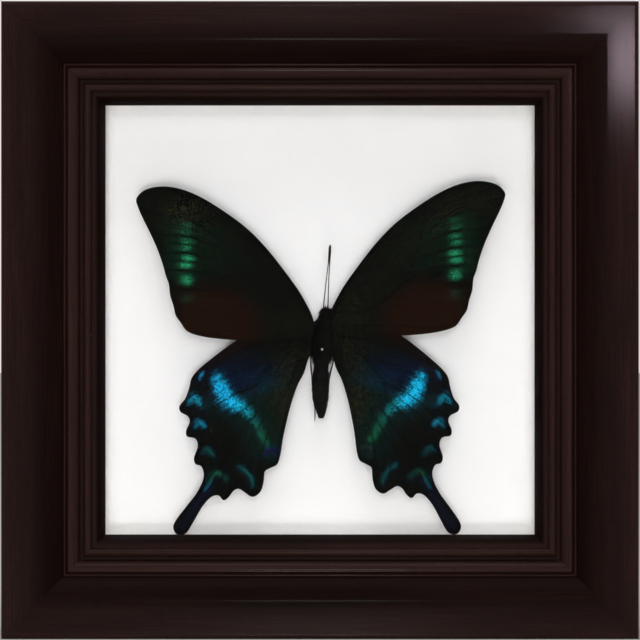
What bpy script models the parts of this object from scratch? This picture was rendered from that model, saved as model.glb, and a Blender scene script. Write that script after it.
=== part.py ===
"""Framed butterfly specimen, a swallowtail pinned in a small wooden shadow-box frame.

X is the width, Z is up, and the glass faces -Y. The frame stands on its bottom rail, and
the origin is under the middle of that rail. Lengths below are in millimetres and MM turns
them to metres. Depths are counted backwards from the frame's front plane.
"""
import math

import bmesh
import bpy
from mathutils import Matrix, Vector

MM = 0.001
GAP = 0.3

# Frame and its moulding
FRAME_SIDE = 178.0
FRAME_DEPTH = 32.0
HALF_SIDE = FRAME_SIDE / 2
HALF_DEPTH = FRAME_DEPTH / 2
SIGHT_EDGE = 28.45
LIP_BACK = 10.5
REBATE_WALL = 25.2
REBATE_HALF = HALF_SIDE - REBATE_WALL

# The moulding's members from the outer edge inwards
ARRIS_RADIUS = 1.2
FACE_FLAT = 8.8
ROLL_WIDTH = 8.3
ROLL_DROP = 3.7
FILLET_INSET = 17.35
FILLET_WIDTH = 0.55
FILLET_DEPTH = 3.3
QUIRK_DEPTH = 4.3
OUTER_BEAD = ((18.5, 6.0), (2.8, 2.2))
GROOVE_DEPTH = 6.4
INNER_BEAD = ((23.8, 6.0), (1.1, 1.4))
LEDGE_INSET = 26.1

# Layers behind the lip, front face and thickness
PANE_HALF = REBATE_HALF - GAP
GLASS_FRONT = LIP_BACK + GAP
GLASS_THICK = 2.0
SPACER_FRONT = GLASS_FRONT + GLASS_THICK + GAP
SPACER_DEPTH = 9.0
SPACER_THICK = 2.0
BOARD_FRONT = SPACER_FRONT + SPACER_DEPTH + GAP
BOARD_THICK = 3.0
BACK_FRONT = BOARD_FRONT + BOARD_THICK + GAP
BACK_THICK = 2.7
BACK_REAR = BACK_FRONT + BACK_THICK

# Corner nails, one leg in each rail of a mitre
NAIL_THICK = 0.5
NAIL_LEG = 5.0
NAIL_DEPTH = 9.0
NAIL_INSET = 12.6

# Bendable tabs that hold the backboard
TAB_THICK = 0.4
TAB_WIDTH = 6.0
TAB_IN_WOOD = 5.0
TAB_OVER_BOARD = 9.0
TAB_SPACING = 60.0
TAB_FRONT = BACK_REAR + GAP

# Sawtooth hanger
HANGER_WIDTH = 44.0
HANGER_HEIGHT = 9.0
HANGER_THICK = 0.8
HANGER_RISE = 1.8
HANGER_Z = 136.0
TOOTH_COUNT = 9
TOOTH_PITCH = 2.4
TOOTH_DEPTH = 1.6
RIVET_SPACING = 36.0
RIVET_SHANK = 1.2
RIVET_HEAD = 2.4
RIVET_HEAD_THICK = 0.9

# Insect: body axis, then the layers of the wings
BODY_X = 0.6
BODY_AXIS_DEPTH = 17.9
WING_THICK = 0.4
FOREWING_FRONT = 15.0
HINDWING_FRONT = FOREWING_FRONT + WING_THICK + GAP
PIN_X = 0.6
PIN_Z = 80.7
PIN_RADIUS = 0.25
PIN_HEAD = 0.45
PIN_TIP = 24.6
LEG_RADIUS = 0.2
LEG_DEPTH = 21.4

# Body sections from the head down: offset from BODY_X, height, radius
BODY_SECTIONS = (
    (1.35, 92.3, 0.5),
    (1.3, 91.9, 1.15),
    (1.2, 91.1, 1.75),
    (1.05, 90.1, 1.65),
    (0.9, 89.4, 1.4),
    (0.7, 88.4, 2.1),
    (0.6, 87.0, 2.7),
    (0.45, 84.5, 3.05),
    (0.35, 82.0, 3.1),
    (0.2, 79.5, 2.85),
    (-0.05, 77.3, 2.25),
    (-0.25, 76.0, 2.0),
    (-0.4, 73.5, 2.35),
    (-0.5, 70.0, 2.45),
    (-0.45, 67.0, 2.3),
    (-0.4, 64.5, 1.85),
    (-0.3, 62.5, 1.2),
    (-0.3, 60.8, 0.45),
)

# Right wing outlines from the hinge outwards, seen from the front, relative to the hinge
FOREWING_HINGE = (3.0, 90.0)
FOREWING_OUTLINE = (
    (0.9, 3.6),
    (3.4, 8.0),
    (7.4, 13.6),
    (12.6, 20.2),
    (18.0, 25.7),
    (24.2, 30.4),
    (30.6, 34.4),
    (36.2, 36.8),
    (41.6, 37.7),
    (46.6, 36.8),
    (49.2, 34.4),
    (48.9, 32.0),
    (47.5, 28.7),
    (45.4, 24.4),
    (43.3, 19.6),
    (41.8, 15.2),
    (41.1, 12.4),
    (40.2, 9.9),
    (39.9, 6.8),
    (38.9, 3.6),
    (38.4, 1.2),
    (36.9, -1.0),
    (35.0, -3.5),
    (31.0, -4.9),
    (25.4, -5.7),
    (19.0, -6.1),
    (9.0, -6.2),
    (0.9, -4.6),
)
HINDWING_HINGE = (3.0, 85.0)
HINDWING_OUTLINE = (
    (0.9, 1.0),
    (8.0, 3.0),
    (15.0, 2.0),
    (20.5, -1.1),
    (24.4, -3.9),
    (28.4, -7.1),
    (31.7, -10.0),
    (33.5, -12.4),
    (34.1, -15.0),
    (35.2, -18.2),
    (36.8, -20.4),
    (36.4, -22.1),
    (34.3, -22.8),
    (33.8, -24.8),
    (34.8, -27.4),
    (34.4, -29.0),
    (32.1, -29.6),
    (31.4, -31.8),
    (32.4, -35.0),
    (31.9, -36.8),
    (30.3, -37.4),
    (29.5, -40.0),
    (30.6, -43.4),
    (33.6, -48.0),
    (36.6, -51.6),
    (37.9, -54.4),
    (37.3, -56.4),
    (35.8, -57.0),
    (34.0, -56.2),
    (32.0, -52.8),
    (29.6, -48.6),
    (27.2, -46.0),
    (25.2, -45.6),
    (23.8, -46.9),
    (22.3, -46.0),
    (21.0, -44.2),
    (19.5, -43.6),
    (17.9, -44.5),
    (15.6, -45.8),
    (13.4, -44.4),
    (12.5, -41.6),
    (12.2, -38.6),
    (10.6, -37.5),
    (8.7, -36.4),
    (7.8, -33.4),
    (7.2, -29.0),
    (6.2, -24.0),
    (5.0, -19.0),
    (3.4, -14.0),
    (1.6, -10.4),
    (0.9, -5.0),
)

# How far the right wings sit up, in and round from the mirrored mean; the left ones go the other way
FOREWING_SHIFT = (-0.23, 0.57)
FOREWING_TURN = 0.27
HINDWING_SHIFT = (-0.43, 0.73)
HINDWING_TURN = -1.03

# Antennae from the head to the club: offset from BODY_X, height, radius
ANTENNA_SECTIONS = (
    (1.0, 92.9, 0.16),
    (1.3, 97.0, 0.15),
    (1.6, 101.0, 0.15),
    (1.95, 105.0, 0.16),
    (2.15, 107.2, 0.26),
    (2.25, 109.2, 0.34),
    (2.3, 110.4, 0.16),
)
ANTENNA_SPREAD = 0.65
ANTENNA_DEPTH = 16.6
ANTENNA_STEP_BACK = 1.0

# Legs folded flat under the thorax: distance outwards from the body's middle, then height
LEG_PATHS = {
    "fore": ((0.8, 86.4), (2.9, 87.6), (2.2, 89.2), (1.0, 91.0)),
    "mid": ((0.9, 83.4), (3.4, 84.6), (5.3, 82.0), (5.6, 77.0)),
    "hind": ((0.9, 80.4), (3.2, 78.6), (2.5, 72.5), (1.9, 66.0)),
}
LEFT_HIND_TIP = ((1.75, 62.4), (1.85, 60.0))


def clear_scene():
    """Remove whatever the opened file holds, so that only this model is in it."""
    for item in list(bpy.data.objects):
        bpy.data.objects.remove(item, do_unlink=True)


def depth_to_y(depth):
    """Turn a depth behind the front plane into a Y coordinate, in millimetres."""
    return depth - HALF_DEPTH


def point(x, depth, z):
    """A point in metres from a width, a depth behind the front plane and a height."""
    return Vector((x, depth_to_y(depth), z)) * MM


def linear(hex_colour):
    """Linear RGBA of an sRGB colour written as RRGGBB."""
    channels = [int(hex_colour[i:i + 2], 16) / 255 for i in (0, 2, 4)]
    return [c / 12.92 if c <= 0.04045 else ((c + 0.055) / 1.055) ** 2.4 for c in channels] + [1.0]


def make_material(name, hex_colour, roughness, metallic=0.0, transmission=0.0):
    """A Principled material with one colour and finish."""
    material = bpy.data.materials.new(name)
    material.use_nodes = True
    shader = material.node_tree.nodes["Principled BSDF"]
    shader.inputs["Base Color"].default_value = linear(hex_colour)
    shader.inputs["Roughness"].default_value = roughness
    shader.inputs["Metallic"].default_value = metallic
    shader.inputs["Transmission Weight"].default_value = transmission
    material.diffuse_color = linear(hex_colour)
    return material


def add_object(name, data, material=None):
    """Link a mesh or curve to the scene as an object of its own."""
    item = bpy.data.objects.new(name, data)
    bpy.context.scene.collection.objects.link(item)
    if material and not data.materials:
        data.materials.append(material)
    return item


def mesh_from(bm, name):
    """Close a bmesh into a mesh with its faces pointing out."""
    bmesh.ops.recalc_face_normals(bm, faces=bm.faces)
    mesh = bpy.data.meshes.new(name)
    bm.to_mesh(mesh)
    bm.free()
    return mesh


def add_box(bm, low, high):
    """Add a box between two corners given as (x, depth, z)."""
    first = point(*low)
    last = point(*high)
    size = last - first
    placed = Matrix.Translation((first + last) / 2) @ Matrix.Diagonal((*size, 1.0))
    bmesh.ops.create_cube(bm, size=1.0, matrix=placed)


def box_mesh(name, low, high):
    """A mesh of one box between two corners."""
    bm = bmesh.new()
    add_box(bm, low, high)
    return mesh_from(bm, name)


def prism_mesh(name, outline, direction):
    """Fill a closed outline of points in metres and extrude it along a direction."""
    bm = bmesh.new()
    face = bm.faces.new([bm.verts.new(corner) for corner in outline])
    grown = bmesh.ops.extrude_face_region(bm, geom=[face])
    moved = [element for element in grown["geom"] if isinstance(element, bmesh.types.BMVert)]
    bmesh.ops.translate(bm, verts=moved, vec=direction)
    return mesh_from(bm, name)


def turned_mesh(name, profile, centre, steps):
    """Turn a profile of (radius, depth) points round an axis that runs along Y."""
    bm = bmesh.new()
    verts = [bm.verts.new(point(centre[0] + radius, depth, centre[1])) for radius, depth in profile]
    edges = [bm.edges.new(pair) for pair in zip(verts, verts[1:])]
    axis_point = point(centre[0], 0.0, centre[1])
    bmesh.ops.spin(
        bm, geom=verts + edges, cent=axis_point, axis=(0, 1, 0), angle=math.tau, steps=steps)
    bmesh.ops.remove_doubles(bm, verts=bm.verts, dist=0.01 * MM)
    return mesh_from(bm, name)


def cut_by(item, cutter):
    """Subtract a cutter from an object and keep the result as the object's own mesh."""
    cutter.hide_render = True
    cutter.display_type = "WIRE"
    cut = item.modifiers.new("cut", "BOOLEAN")
    cut.operation = "DIFFERENCE"
    cut.solver = "EXACT"
    cut.object = cutter


def shade_round(item, angle=40.0):
    """Smooth shading that keeps edges sharper than the angle."""
    item.data.shade_smooth()
    item.data.set_sharp_from_angle(angle=math.radians(angle))


def arc(centre, radii, start, end, steps):
    """Points along an elliptical arc between two angles in degrees."""
    points = []
    for i in range(steps + 1):
        angle = math.radians(start + (end - start) * i / steps)
        points.append((centre[0] + radii[0] * math.cos(angle), centre[1] + radii[1] * math.sin(angle)))
    return points


def rail_profile():
    """The moulding's section as (distance in from the outer edge, depth behind the front)."""
    roll_steps = 8
    profile = [(0.0, FRAME_DEPTH)]
    profile += arc((ARRIS_RADIUS, ARRIS_RADIUS), (ARRIS_RADIUS, ARRIS_RADIUS), 180, 270, 4)
    # The flat face rolls over in a curve that gets steeper towards the fillet.
    for i in range(roll_steps + 1):
        along = i / roll_steps
        profile.append((FACE_FLAT + ROLL_WIDTH * along, ROLL_DROP * along ** 2.2))
    # A narrow raised fillet, a quirk and the outer bead, a quarter round.
    profile += [(FILLET_INSET, FILLET_DEPTH), (FILLET_INSET + FILLET_WIDTH, FILLET_DEPTH)]
    profile += [(FILLET_INSET + FILLET_WIDTH + 0.35, QUIRK_DEPTH)]
    profile += arc(*OUTER_BEAD, 270, 360, 6)
    # A groove, the inner bead, a ledge and the hollow slope down to the sight edge.
    profile += [(21.45, GROOVE_DEPTH), (22.55, GROOVE_DEPTH)]
    profile += arc(*INNER_BEAD, 180, 360, 8)
    profile += [(25.05, GROOVE_DEPTH), (LEDGE_INSET, GROOVE_DEPTH), (LEDGE_INSET + 0.4, 6.7)]
    profile += [(27.6, 8.2), (SIGHT_EDGE, 9.7)]
    profile += [(SIGHT_EDGE, LIP_BACK), (REBATE_WALL, LIP_BACK), (REBATE_WALL, FRAME_DEPTH)]
    return profile


def rail_mesh():
    """One rail about the frame's centre: its section carried along X and mitred at both ends."""
    mitre_half_gap = GAP / math.sqrt(2)
    bm = bmesh.new()
    ends = []
    for side in (-1, 1):
        ring = []
        for inset, depth in rail_profile():
            end = side * (HALF_SIDE - inset - mitre_half_gap)
            ring.append(bm.verts.new(point(end, depth, inset - HALF_SIDE)))
        ends.append(ring)
    edges = []
    for ring in ends:
        bm.faces.new(ring)
        edges += [bm.edges.get(pair) for pair in zip(ring, ring[1:] + ring[:1])]
    bmesh.ops.bridge_loops(bm, edges=edges)
    return mesh_from(bm, "rail")


def slot_mesh():
    """The slots in one rail: two for the tabs and one leg of each corner nail."""
    bm = bmesh.new()
    half_tab = TAB_WIDTH / 2 + GAP
    wall = REBATE_WALL - HALF_SIDE
    for side in (-1, 1):
        middle = side * TAB_SPACING / 2
        add_box(
            bm,
            (middle - half_tab, TAB_FRONT - GAP, wall - TAB_IN_WOOD - GAP),
            (middle + half_tab, TAB_FRONT + TAB_THICK + GAP, wall + 1.0))
        corner = side * (HALF_SIDE - NAIL_INSET)
        reach = side * (NAIL_LEG + GAP)
        half_nail = NAIL_THICK / 2 + GAP
        add_box(
            bm,
            (min(corner - reach, corner + side), FRAME_DEPTH - NAIL_DEPTH - GAP,
             NAIL_INSET - HALF_SIDE - half_nail),
            (max(corner - reach, corner + side), FRAME_DEPTH + 1.0,
             NAIL_INSET - HALF_SIDE + half_nail))
    return mesh_from(bm, "rail_slots")


def finished_mesh(item):
    """The mesh of an object with its modifiers worked in."""
    graph = bpy.context.evaluated_depsgraph_get()
    return bpy.data.meshes.new_from_object(item.evaluated_get(graph))


def make_rails(material):
    """Four equal rails, turned by quarters about the frame's centre."""
    blank = add_object("rail_blank", rail_mesh(), material)
    cutter = add_object("rail_slots", slot_mesh())
    cut_by(blank, cutter)
    mesh = finished_mesh(blank)
    for used in (blank, cutter):
        bpy.data.objects.remove(used, do_unlink=True)
    centre = Vector((0.0, 0.0, HALF_SIDE * MM))
    for quarter, name in enumerate(("bottom", "left", "top", "right")):
        rail = add_object("rail_" + name, mesh, material)
        rail.location = centre
        rail.rotation_euler = (0.0, quarter * math.pi / 2, 0.0)


def make_corner_nails(material):
    """A thin steel V across each mitre, with a leg in both rails."""
    half = NAIL_THICK / 2
    corner = HALF_SIDE - NAIL_INSET
    back = FRAME_DEPTH - 0.1
    for x_side, x_name in ((-1, "left"), (1, "right")):
        for z_side, z_name in ((-1, "bottom"), (1, "top")):
            outline = (
                (corner + half, corner + half), (corner - NAIL_LEG, corner + half),
                (corner - NAIL_LEG, corner - half), (corner - half, corner - half),
                (corner - half, corner - NAIL_LEG), (corner + half, corner - NAIL_LEG))
            placed = [point(x_side * x, back, HALF_SIDE + z_side * z) for x, z in outline]
            name = "v_nail_" + z_name + "_" + x_name
            mesh = prism_mesh(name, placed, Vector((0.0, -NAIL_DEPTH * MM, 0.0)))
            add_object(name, mesh, material)


def make_tabs(material):
    """Two bendable tabs in each rail, their points in the rebate wall."""
    wall = REBATE_WALL - HALF_SIDE
    half = TAB_WIDTH / 2
    outline = (
        (-half, wall + TAB_OVER_BOARD), (-half, wall - 1.5), (0.0, wall - TAB_IN_WOOD),
        (half, wall - 1.5), (half, wall + TAB_OVER_BOARD))
    placed = [point(x, TAB_FRONT, z) for x, z in outline]
    mesh = prism_mesh("flexi_point", placed, Vector((0.0, TAB_THICK * MM, 0.0)))
    centre = Matrix.Translation((0.0, 0.0, HALF_SIDE * MM))
    for quarter, name in enumerate(("bottom", "left", "top", "right")):
        turn = Matrix.Rotation(quarter * math.pi / 2, 4, "Y")
        for number, side in enumerate((-1, 1), start=1):
            tab = add_object("flexi_point_%s_%d" % (name, number), mesh, material)
            slide = Matrix.Translation((side * TAB_SPACING / 2 * MM, 0.0, 0.0))
            tab.matrix_world = centre @ turn @ slide


def make_spacers(material):
    """Four card strips that stand on edge between the glass and the board."""
    outer = PANE_HALF
    inner = PANE_HALF - SPACER_THICK
    rear = SPACER_FRONT + SPACER_DEPTH
    for side, name in ((-1, "bottom"), (1, "top")):
        low, high = sorted((side * inner, side * outer))
        mesh = box_mesh(
            "spacer_" + name, (-outer, SPACER_FRONT, HALF_SIDE + low), (outer, rear, HALF_SIDE + high))
        add_object("spacer_" + name, mesh, material)
    reach = inner - GAP
    for side, name in ((-1, "left"), (1, "right")):
        low, high = sorted((side * inner, side * outer))
        mesh = box_mesh(
            "spacer_" + name, (low, SPACER_FRONT, HALF_SIDE - reach), (high, rear, HALF_SIDE + reach))
        add_object("spacer_" + name, mesh, material)


def sheet(name, half, front, thick, material):
    """A flat square sheet in the rebate, centred in the frame."""
    mesh = box_mesh(
        name, (-half, front, HALF_SIDE - half), (half, front + thick, HALF_SIDE + half))
    return add_object(name, mesh, material)


def bore_cutter(name, centres, radius, front, rear, steps=16):
    """A cutter of straight round holes that run through a sheet from front to rear."""
    bm = bmesh.new()
    for x, z in centres:
        middle = point(x, (front + rear) / 2, z)
        placed = Matrix.Translation(middle) @ Matrix.Rotation(math.pi / 2, 4, "X")
        bmesh.ops.create_cone(
            bm, cap_ends=True, segments=steps, radius1=radius * MM, radius2=radius * MM,
            depth=(rear - front) * MM, matrix=placed)
    return add_object(name, mesh_from(bm, name))


def rivet_centres():
    """The two rivets' places as (x, z)."""
    return [(side * RIVET_SPACING / 2, HANGER_Z) for side in (-1, 1)]


def make_hanger(material):
    """A stamped strip, raised in the middle, with a toothed lower edge and two rivet holes."""
    half = HANGER_WIDTH / 2
    flat_front = BACK_REAR + GAP
    raised = flat_front + HANGER_RISE
    ramp_out = 14.0
    ramp_in = 12.0
    under = (
        (-half, flat_front), (-ramp_out, flat_front), (-ramp_in, raised),
        (ramp_in, raised), (ramp_out, flat_front), (half, flat_front))
    over = [(x, depth + HANGER_THICK) for x, depth in reversed(under)]
    foot = HANGER_Z - HANGER_HEIGHT / 2
    section = [point(x, depth, foot) for x, depth in list(under) + over]
    mesh = prism_mesh("sawtooth_hanger", section, Vector((0.0, 0.0, HANGER_HEIGHT * MM)))
    hanger = add_object("sawtooth_hanger", mesh, material)
    zigzag = []
    for i in range(TOOTH_COUNT * 2 + 1):
        x = (i / 2 - TOOTH_COUNT / 2) * TOOTH_PITCH
        zigzag.append((x, foot + (TOOTH_DEPTH if i % 2 else 0.0)))
    outline = [point(x, flat_front - 1.0, z) for x, z in zigzag]
    outline += [point(zigzag[-1][0], flat_front - 1.0, foot - 2.0)]
    outline += [point(zigzag[0][0], flat_front - 1.0, foot - 2.0)]
    teeth = prism_mesh("hanger_teeth", outline, Vector((0.0, 5.0 * MM, 0.0)))
    cut_by(hanger, add_object("hanger_teeth", teeth))
    holes = bore_cutter(
        "hanger_holes", rivet_centres(), RIVET_SHANK + GAP, flat_front - 1.0, raised + 1.0)
    cut_by(hanger, holes)


def make_rivets(material):
    """Round-headed rivets through the hanger and the backboard."""
    head_front = BACK_REAR + GAP + HANGER_THICK + GAP
    crown = head_front + RIVET_HEAD_THICK
    profile = (
        (0.0, BACK_FRONT + 0.2), (RIVET_SHANK, BACK_FRONT + 0.2), (RIVET_SHANK, head_front),
        (RIVET_HEAD, head_front), (RIVET_HEAD, head_front + 0.3), (RIVET_HEAD * 0.75, crown - 0.15),
        (RIVET_HEAD * 0.4, crown), (0.0, crown))
    for centre, name in zip(rivet_centres(), ("left", "right")):
        mesh = turned_mesh("hanger_rivet_" + name, profile, centre, 16)
        shade_round(add_object("hanger_rivet_" + name, mesh, material))


def smooth_closed(corners, steps=3):
    """A closed Catmull-Rom curve through the corners."""
    count = len(corners)
    curve = []
    for i in range(count):
        before, start, end, after = (Vector(corners[(i + k) % count]) for k in (-1, 0, 1, 2))
        for step in range(steps):
            t = step / steps
            spot = (2 * start + (end - before) * t + (2 * before - 5 * start + 4 * end - after) * t ** 2
                    + (3 * start - 3 * end + after - before) * t ** 3) / 2
            curve.append((spot.x, spot.y))
    return curve


def make_wing(name, side, outline, hinge, shift, turn, front, material):
    """A flat wing: the mean outline, turned a little about its hinge and mirrored for the left."""
    angle = math.radians(side * turn)
    placed = []
    for x, z in smooth_closed(outline):
        turned_x = x * math.cos(angle) - z * math.sin(angle)
        turned_z = x * math.sin(angle) + z * math.cos(angle)
        across = hinge[0] + side * shift[0] + turned_x
        height = hinge[1] + side * shift[1] + turned_z
        placed.append(point(BODY_X + side * across, front, height))
    mesh = prism_mesh(name, placed, Vector((0.0, WING_THICK * MM, 0.0)))
    add_object(name, mesh, material)


def make_wings(material):
    """Both pairs of wings, the forewings lying over the hindwings."""
    for side, name in ((-1, "left"), (1, "right")):
        make_wing(
            "forewing_" + name, side, FOREWING_OUTLINE, FOREWING_HINGE, FOREWING_SHIFT,
            FOREWING_TURN, FOREWING_FRONT, material)
        make_wing(
            "hindwing_" + name, side, HINDWING_OUTLINE, HINDWING_HINGE, HINDWING_SHIFT,
            HINDWING_TURN, HINDWING_FRONT, material)


def make_body(material):
    """Head, thorax and abdomen as one skin over round sections, with the pin's hole through it."""
    around = 16
    bm = bmesh.new()
    rings = []
    for offset, height, radius in BODY_SECTIONS:
        centre = point(BODY_X + offset, BODY_AXIS_DEPTH, height)
        made = bmesh.ops.create_circle(
            bm, segments=around, radius=radius * MM, matrix=Matrix.Translation(centre))
        rings.append(made["verts"])
    for first, second in zip(rings, rings[1:]):
        loop = [edge for ring in (first, second) for edge in {e for v in ring for e in v.link_edges}
                if all(v in ring for v in edge.verts)]
        bmesh.ops.bridge_loops(bm, edges=loop)
    for ring in (rings[0], rings[-1]):
        bm.faces.new(ring)
    body = add_object("butterfly_body", mesh_from(bm, "butterfly_body"), material)
    body.data.shade_smooth()
    hole = bore_cutter("body_pin_hole", [(PIN_X, PIN_Z)], PIN_RADIUS + GAP, 10.0, BOARD_FRONT, 12)
    cut_by(body, hole)


def tube(name, stations, sides_step, material):
    """A tapering tube with filled ends through stations of (point in metres, radius in millimetres)."""
    curve = bpy.data.curves.new(name, "CURVE")
    curve.dimensions = "3D"
    curve.bevel_depth = MM
    curve.bevel_resolution = sides_step
    curve.use_fill_caps = True
    spline = curve.splines.new("POLY")
    spline.points.add(len(stations) - 1)
    for target, (place, radius) in zip(spline.points, stations):
        target.co = (*place, 1.0)
        target.radius = radius
    return add_object(name, curve, material)


def make_antennae(material):
    """Two clubbed antennae laid forward side by side, the right one a little deeper."""
    for side, name in ((-1, "left"), (1, "right")):
        stations = []
        first_z = ANTENNA_SECTIONS[0][1]
        last_z = ANTENNA_SECTIONS[-1][1]
        for offset, height, radius in ANTENNA_SECTIONS:
            closing = 1.0 - (height - first_z) / (last_z - first_z)
            x = BODY_X + offset + side * ANTENNA_SPREAD * closing
            depth = ANTENNA_DEPTH + (side + 1) / 2 * ANTENNA_STEP_BACK
            stations.append((point(x, depth, height), radius))
        tube("antenna_" + name, stations, 1, material)


def body_lean(height):
    """The body's sideways offset at a height, read between its sections."""
    for upper, lower in zip(BODY_SECTIONS, BODY_SECTIONS[1:]):
        if height >= lower[1]:
            share = (upper[1] - height) / (upper[1] - lower[1])
            return upper[0] + (lower[0] - upper[0]) * share
    return BODY_SECTIONS[-1][0]


def make_legs(material):
    """Six legs folded flat between the thorax and the board."""
    for side, side_name in ((-1, "left"), (1, "right")):
        for leg_name, path in LEG_PATHS.items():
            if leg_name == "hind" and side < 0:
                path = path + LEFT_HIND_TIP
            stations = []
            for across, height in path:
                x = BODY_X + body_lean(height) + side * across
                stations.append((point(x, LEG_DEPTH, height), LEG_RADIUS))
            tube("leg_%s_%s" % (leg_name, side_name), stations, 1, material)


def make_pin(material):
    """A steel pin down through the thorax into the board."""
    head_depth = SPACER_FRONT + 0.1 + PIN_HEAD
    ball = arc((0.0, head_depth), (PIN_HEAD, PIN_HEAD), 270, 420, 6)
    ball[0] = (0.0, head_depth - PIN_HEAD)
    profile = ball + [(PIN_RADIUS, head_depth + PIN_HEAD), (PIN_RADIUS, PIN_TIP - 1.0), (0.0, PIN_TIP)]
    mesh = turned_mesh("insect_pin", profile, (PIN_X, PIN_Z), 10)
    shade_round(add_object("insect_pin", mesh, material))


def main():
    clear_scene()
    wood = make_material("espresso_stained_wood", "24150F", 0.38)
    card = make_material("white_card", "F2F1EC", 0.8)
    board = make_material("white_mount_board", "F4F3EE", 0.85)
    hardboard = make_material("brown_hardboard", "6B4A30", 0.75)
    glass = make_material("clear_glass", "F4F8F6", 0.02, transmission=1.0)
    steel = make_material("zinc_plated_steel", "A9ABAD", 0.38, metallic=1.0)
    hanger_steel = make_material("nickel_plated_steel", "B8B4AC", 0.3, metallic=1.0)
    scales = make_material("black_wing_scales", "0E120F", 0.6)
    fur = make_material("black_body_hair", "100E0C", 0.85)
    horn = make_material("dark_horn", "15100C", 0.45)

    make_rails(wood)
    make_corner_nails(steel)
    make_tabs(steel)
    sheet("glass_pane", PANE_HALF, GLASS_FRONT, GLASS_THICK, glass)
    make_spacers(card)
    mount_board = sheet("mount_board", PANE_HALF, BOARD_FRONT, BOARD_THICK, board)
    cut_by(mount_board, bore_cutter(
        "board_pin_hole", [(PIN_X, PIN_Z)], PIN_RADIUS + GAP, BOARD_FRONT - 1.0, BACK_FRONT, 12))
    backboard = sheet("backboard", PANE_HALF, BACK_FRONT, BACK_THICK, hardboard)
    cut_by(backboard, bore_cutter(
        "backboard_rivet_holes", rivet_centres(), RIVET_SHANK + GAP, BACK_FRONT - 1.0, BACK_REAR + 1.0))
    make_hanger(hanger_steel)
    make_rivets(hanger_steel)
    make_body(fur)
    make_wings(scales)
    make_antennae(horn)
    make_legs(horn)
    make_pin(steel)


main()
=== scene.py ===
"""Framed butterfly specimen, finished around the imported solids.

A stained wooden shadow-box frame with glass, card spacers, a white mount board and a pinned
black swallowtail. X is the width, Z is up, and the glass faces -Y. Shapes are worked out in
millimetres as width, depth behind the frame's front plane, and height.
"""

import math

import bmesh
import bpy
import numpy as np
from bpy.props import FloatProperty, FloatVectorProperty, IntProperty, PointerProperty
from mathutils import Matrix, Vector


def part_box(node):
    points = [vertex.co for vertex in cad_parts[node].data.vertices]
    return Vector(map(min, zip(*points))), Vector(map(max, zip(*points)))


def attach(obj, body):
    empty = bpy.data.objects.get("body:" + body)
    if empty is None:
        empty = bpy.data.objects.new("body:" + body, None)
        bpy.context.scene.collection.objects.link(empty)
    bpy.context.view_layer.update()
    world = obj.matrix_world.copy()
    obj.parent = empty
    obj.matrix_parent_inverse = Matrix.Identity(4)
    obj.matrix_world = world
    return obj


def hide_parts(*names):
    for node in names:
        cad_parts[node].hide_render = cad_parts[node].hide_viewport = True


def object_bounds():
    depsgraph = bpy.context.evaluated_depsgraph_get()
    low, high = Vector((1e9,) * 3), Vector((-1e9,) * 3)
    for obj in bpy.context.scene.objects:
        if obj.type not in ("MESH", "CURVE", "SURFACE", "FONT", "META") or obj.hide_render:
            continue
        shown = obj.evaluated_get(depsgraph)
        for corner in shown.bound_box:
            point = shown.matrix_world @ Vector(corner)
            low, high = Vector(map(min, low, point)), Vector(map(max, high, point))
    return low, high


bl_info = {
    "name": "Framed Butterfly Specimen",
    "version": (1, 0, 0),
    "blender": (4, 5, 0),
    "location": "3D View > Sidebar > Specimen",
    "description": "Finishes the frame, the glass, the boards and the pinned swallowtail",
    "category": "Add Mesh",
}

MM = 0.001
BODY = "root"

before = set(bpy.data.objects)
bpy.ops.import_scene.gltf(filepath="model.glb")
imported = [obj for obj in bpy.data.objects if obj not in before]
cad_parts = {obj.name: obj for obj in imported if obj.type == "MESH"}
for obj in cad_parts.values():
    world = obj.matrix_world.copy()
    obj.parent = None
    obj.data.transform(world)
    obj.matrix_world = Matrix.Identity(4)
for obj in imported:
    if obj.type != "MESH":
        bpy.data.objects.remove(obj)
CAD_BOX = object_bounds()
FRONT_Y = CAD_BOX[0].y


def box_mm(node):
    """A node's box in millimetres, as its lowest and highest (width, depth, height)."""
    low, high = (np.array(corner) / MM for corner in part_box(node))
    offset = np.array((0.0, FRONT_Y / MM, 0.0))
    return low - offset, high - offset


RAIL_LOW, RAIL_HIGH = box_mm("rail_bottom")
FRAME_SIDE = (CAD_BOX[1].x - CAD_BOX[0].x) / MM
HALF_SIDE = FRAME_SIDE / 2
FRAME_DEPTH = RAIL_HIGH[1] - RAIL_LOW[1]
SIGHT_EDGE = RAIL_HIGH[2] - RAIL_LOW[2]
BOARD_DEPTH = box_mm("mount_board")[0][1]


# Small helpers


def linear(hex_colour):
    """Linear RGB of an sRGB colour written as #RRGGBB."""
    value = np.array([int(hex_colour[i:i + 2], 16) for i in (1, 3, 5)]) / 255
    return tuple(np.where(value <= 0.04045, value / 12.92, ((value + 0.055) / 1.055) ** 2.4).tolist())


def rgba(colour):
    """A colour with its alpha, from a hex value or from a property."""
    return (*(linear(colour) if isinstance(colour, str) else colour), 1.0)


def place(width, depth, height):
    """Points in metres from widths, depths behind the front plane and heights in millimetres."""
    width, depth, height = np.broadcast_arrays(width, depth, height)
    return np.stack((width, depth, height), axis=-1) * MM + np.array((0.0, FRONT_Y, 0.0))


def ease(low, high, value):
    """Smooth step from 0 at low to 1 at high: 3t^2 - 2t^3."""
    share = np.clip((value - low) / (high - low), 0.0, 1.0)
    return share * share * (3.0 - 2.0 * share)


def arc(centre, radii, start, end, count):
    """Points on an ellipse's arc between two angles in degrees."""
    angle = np.radians(np.linspace(start, end, count))
    return np.stack((centre[0] + radii[0] * np.cos(angle), centre[1] + radii[1] * np.sin(angle)), axis=1)


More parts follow.
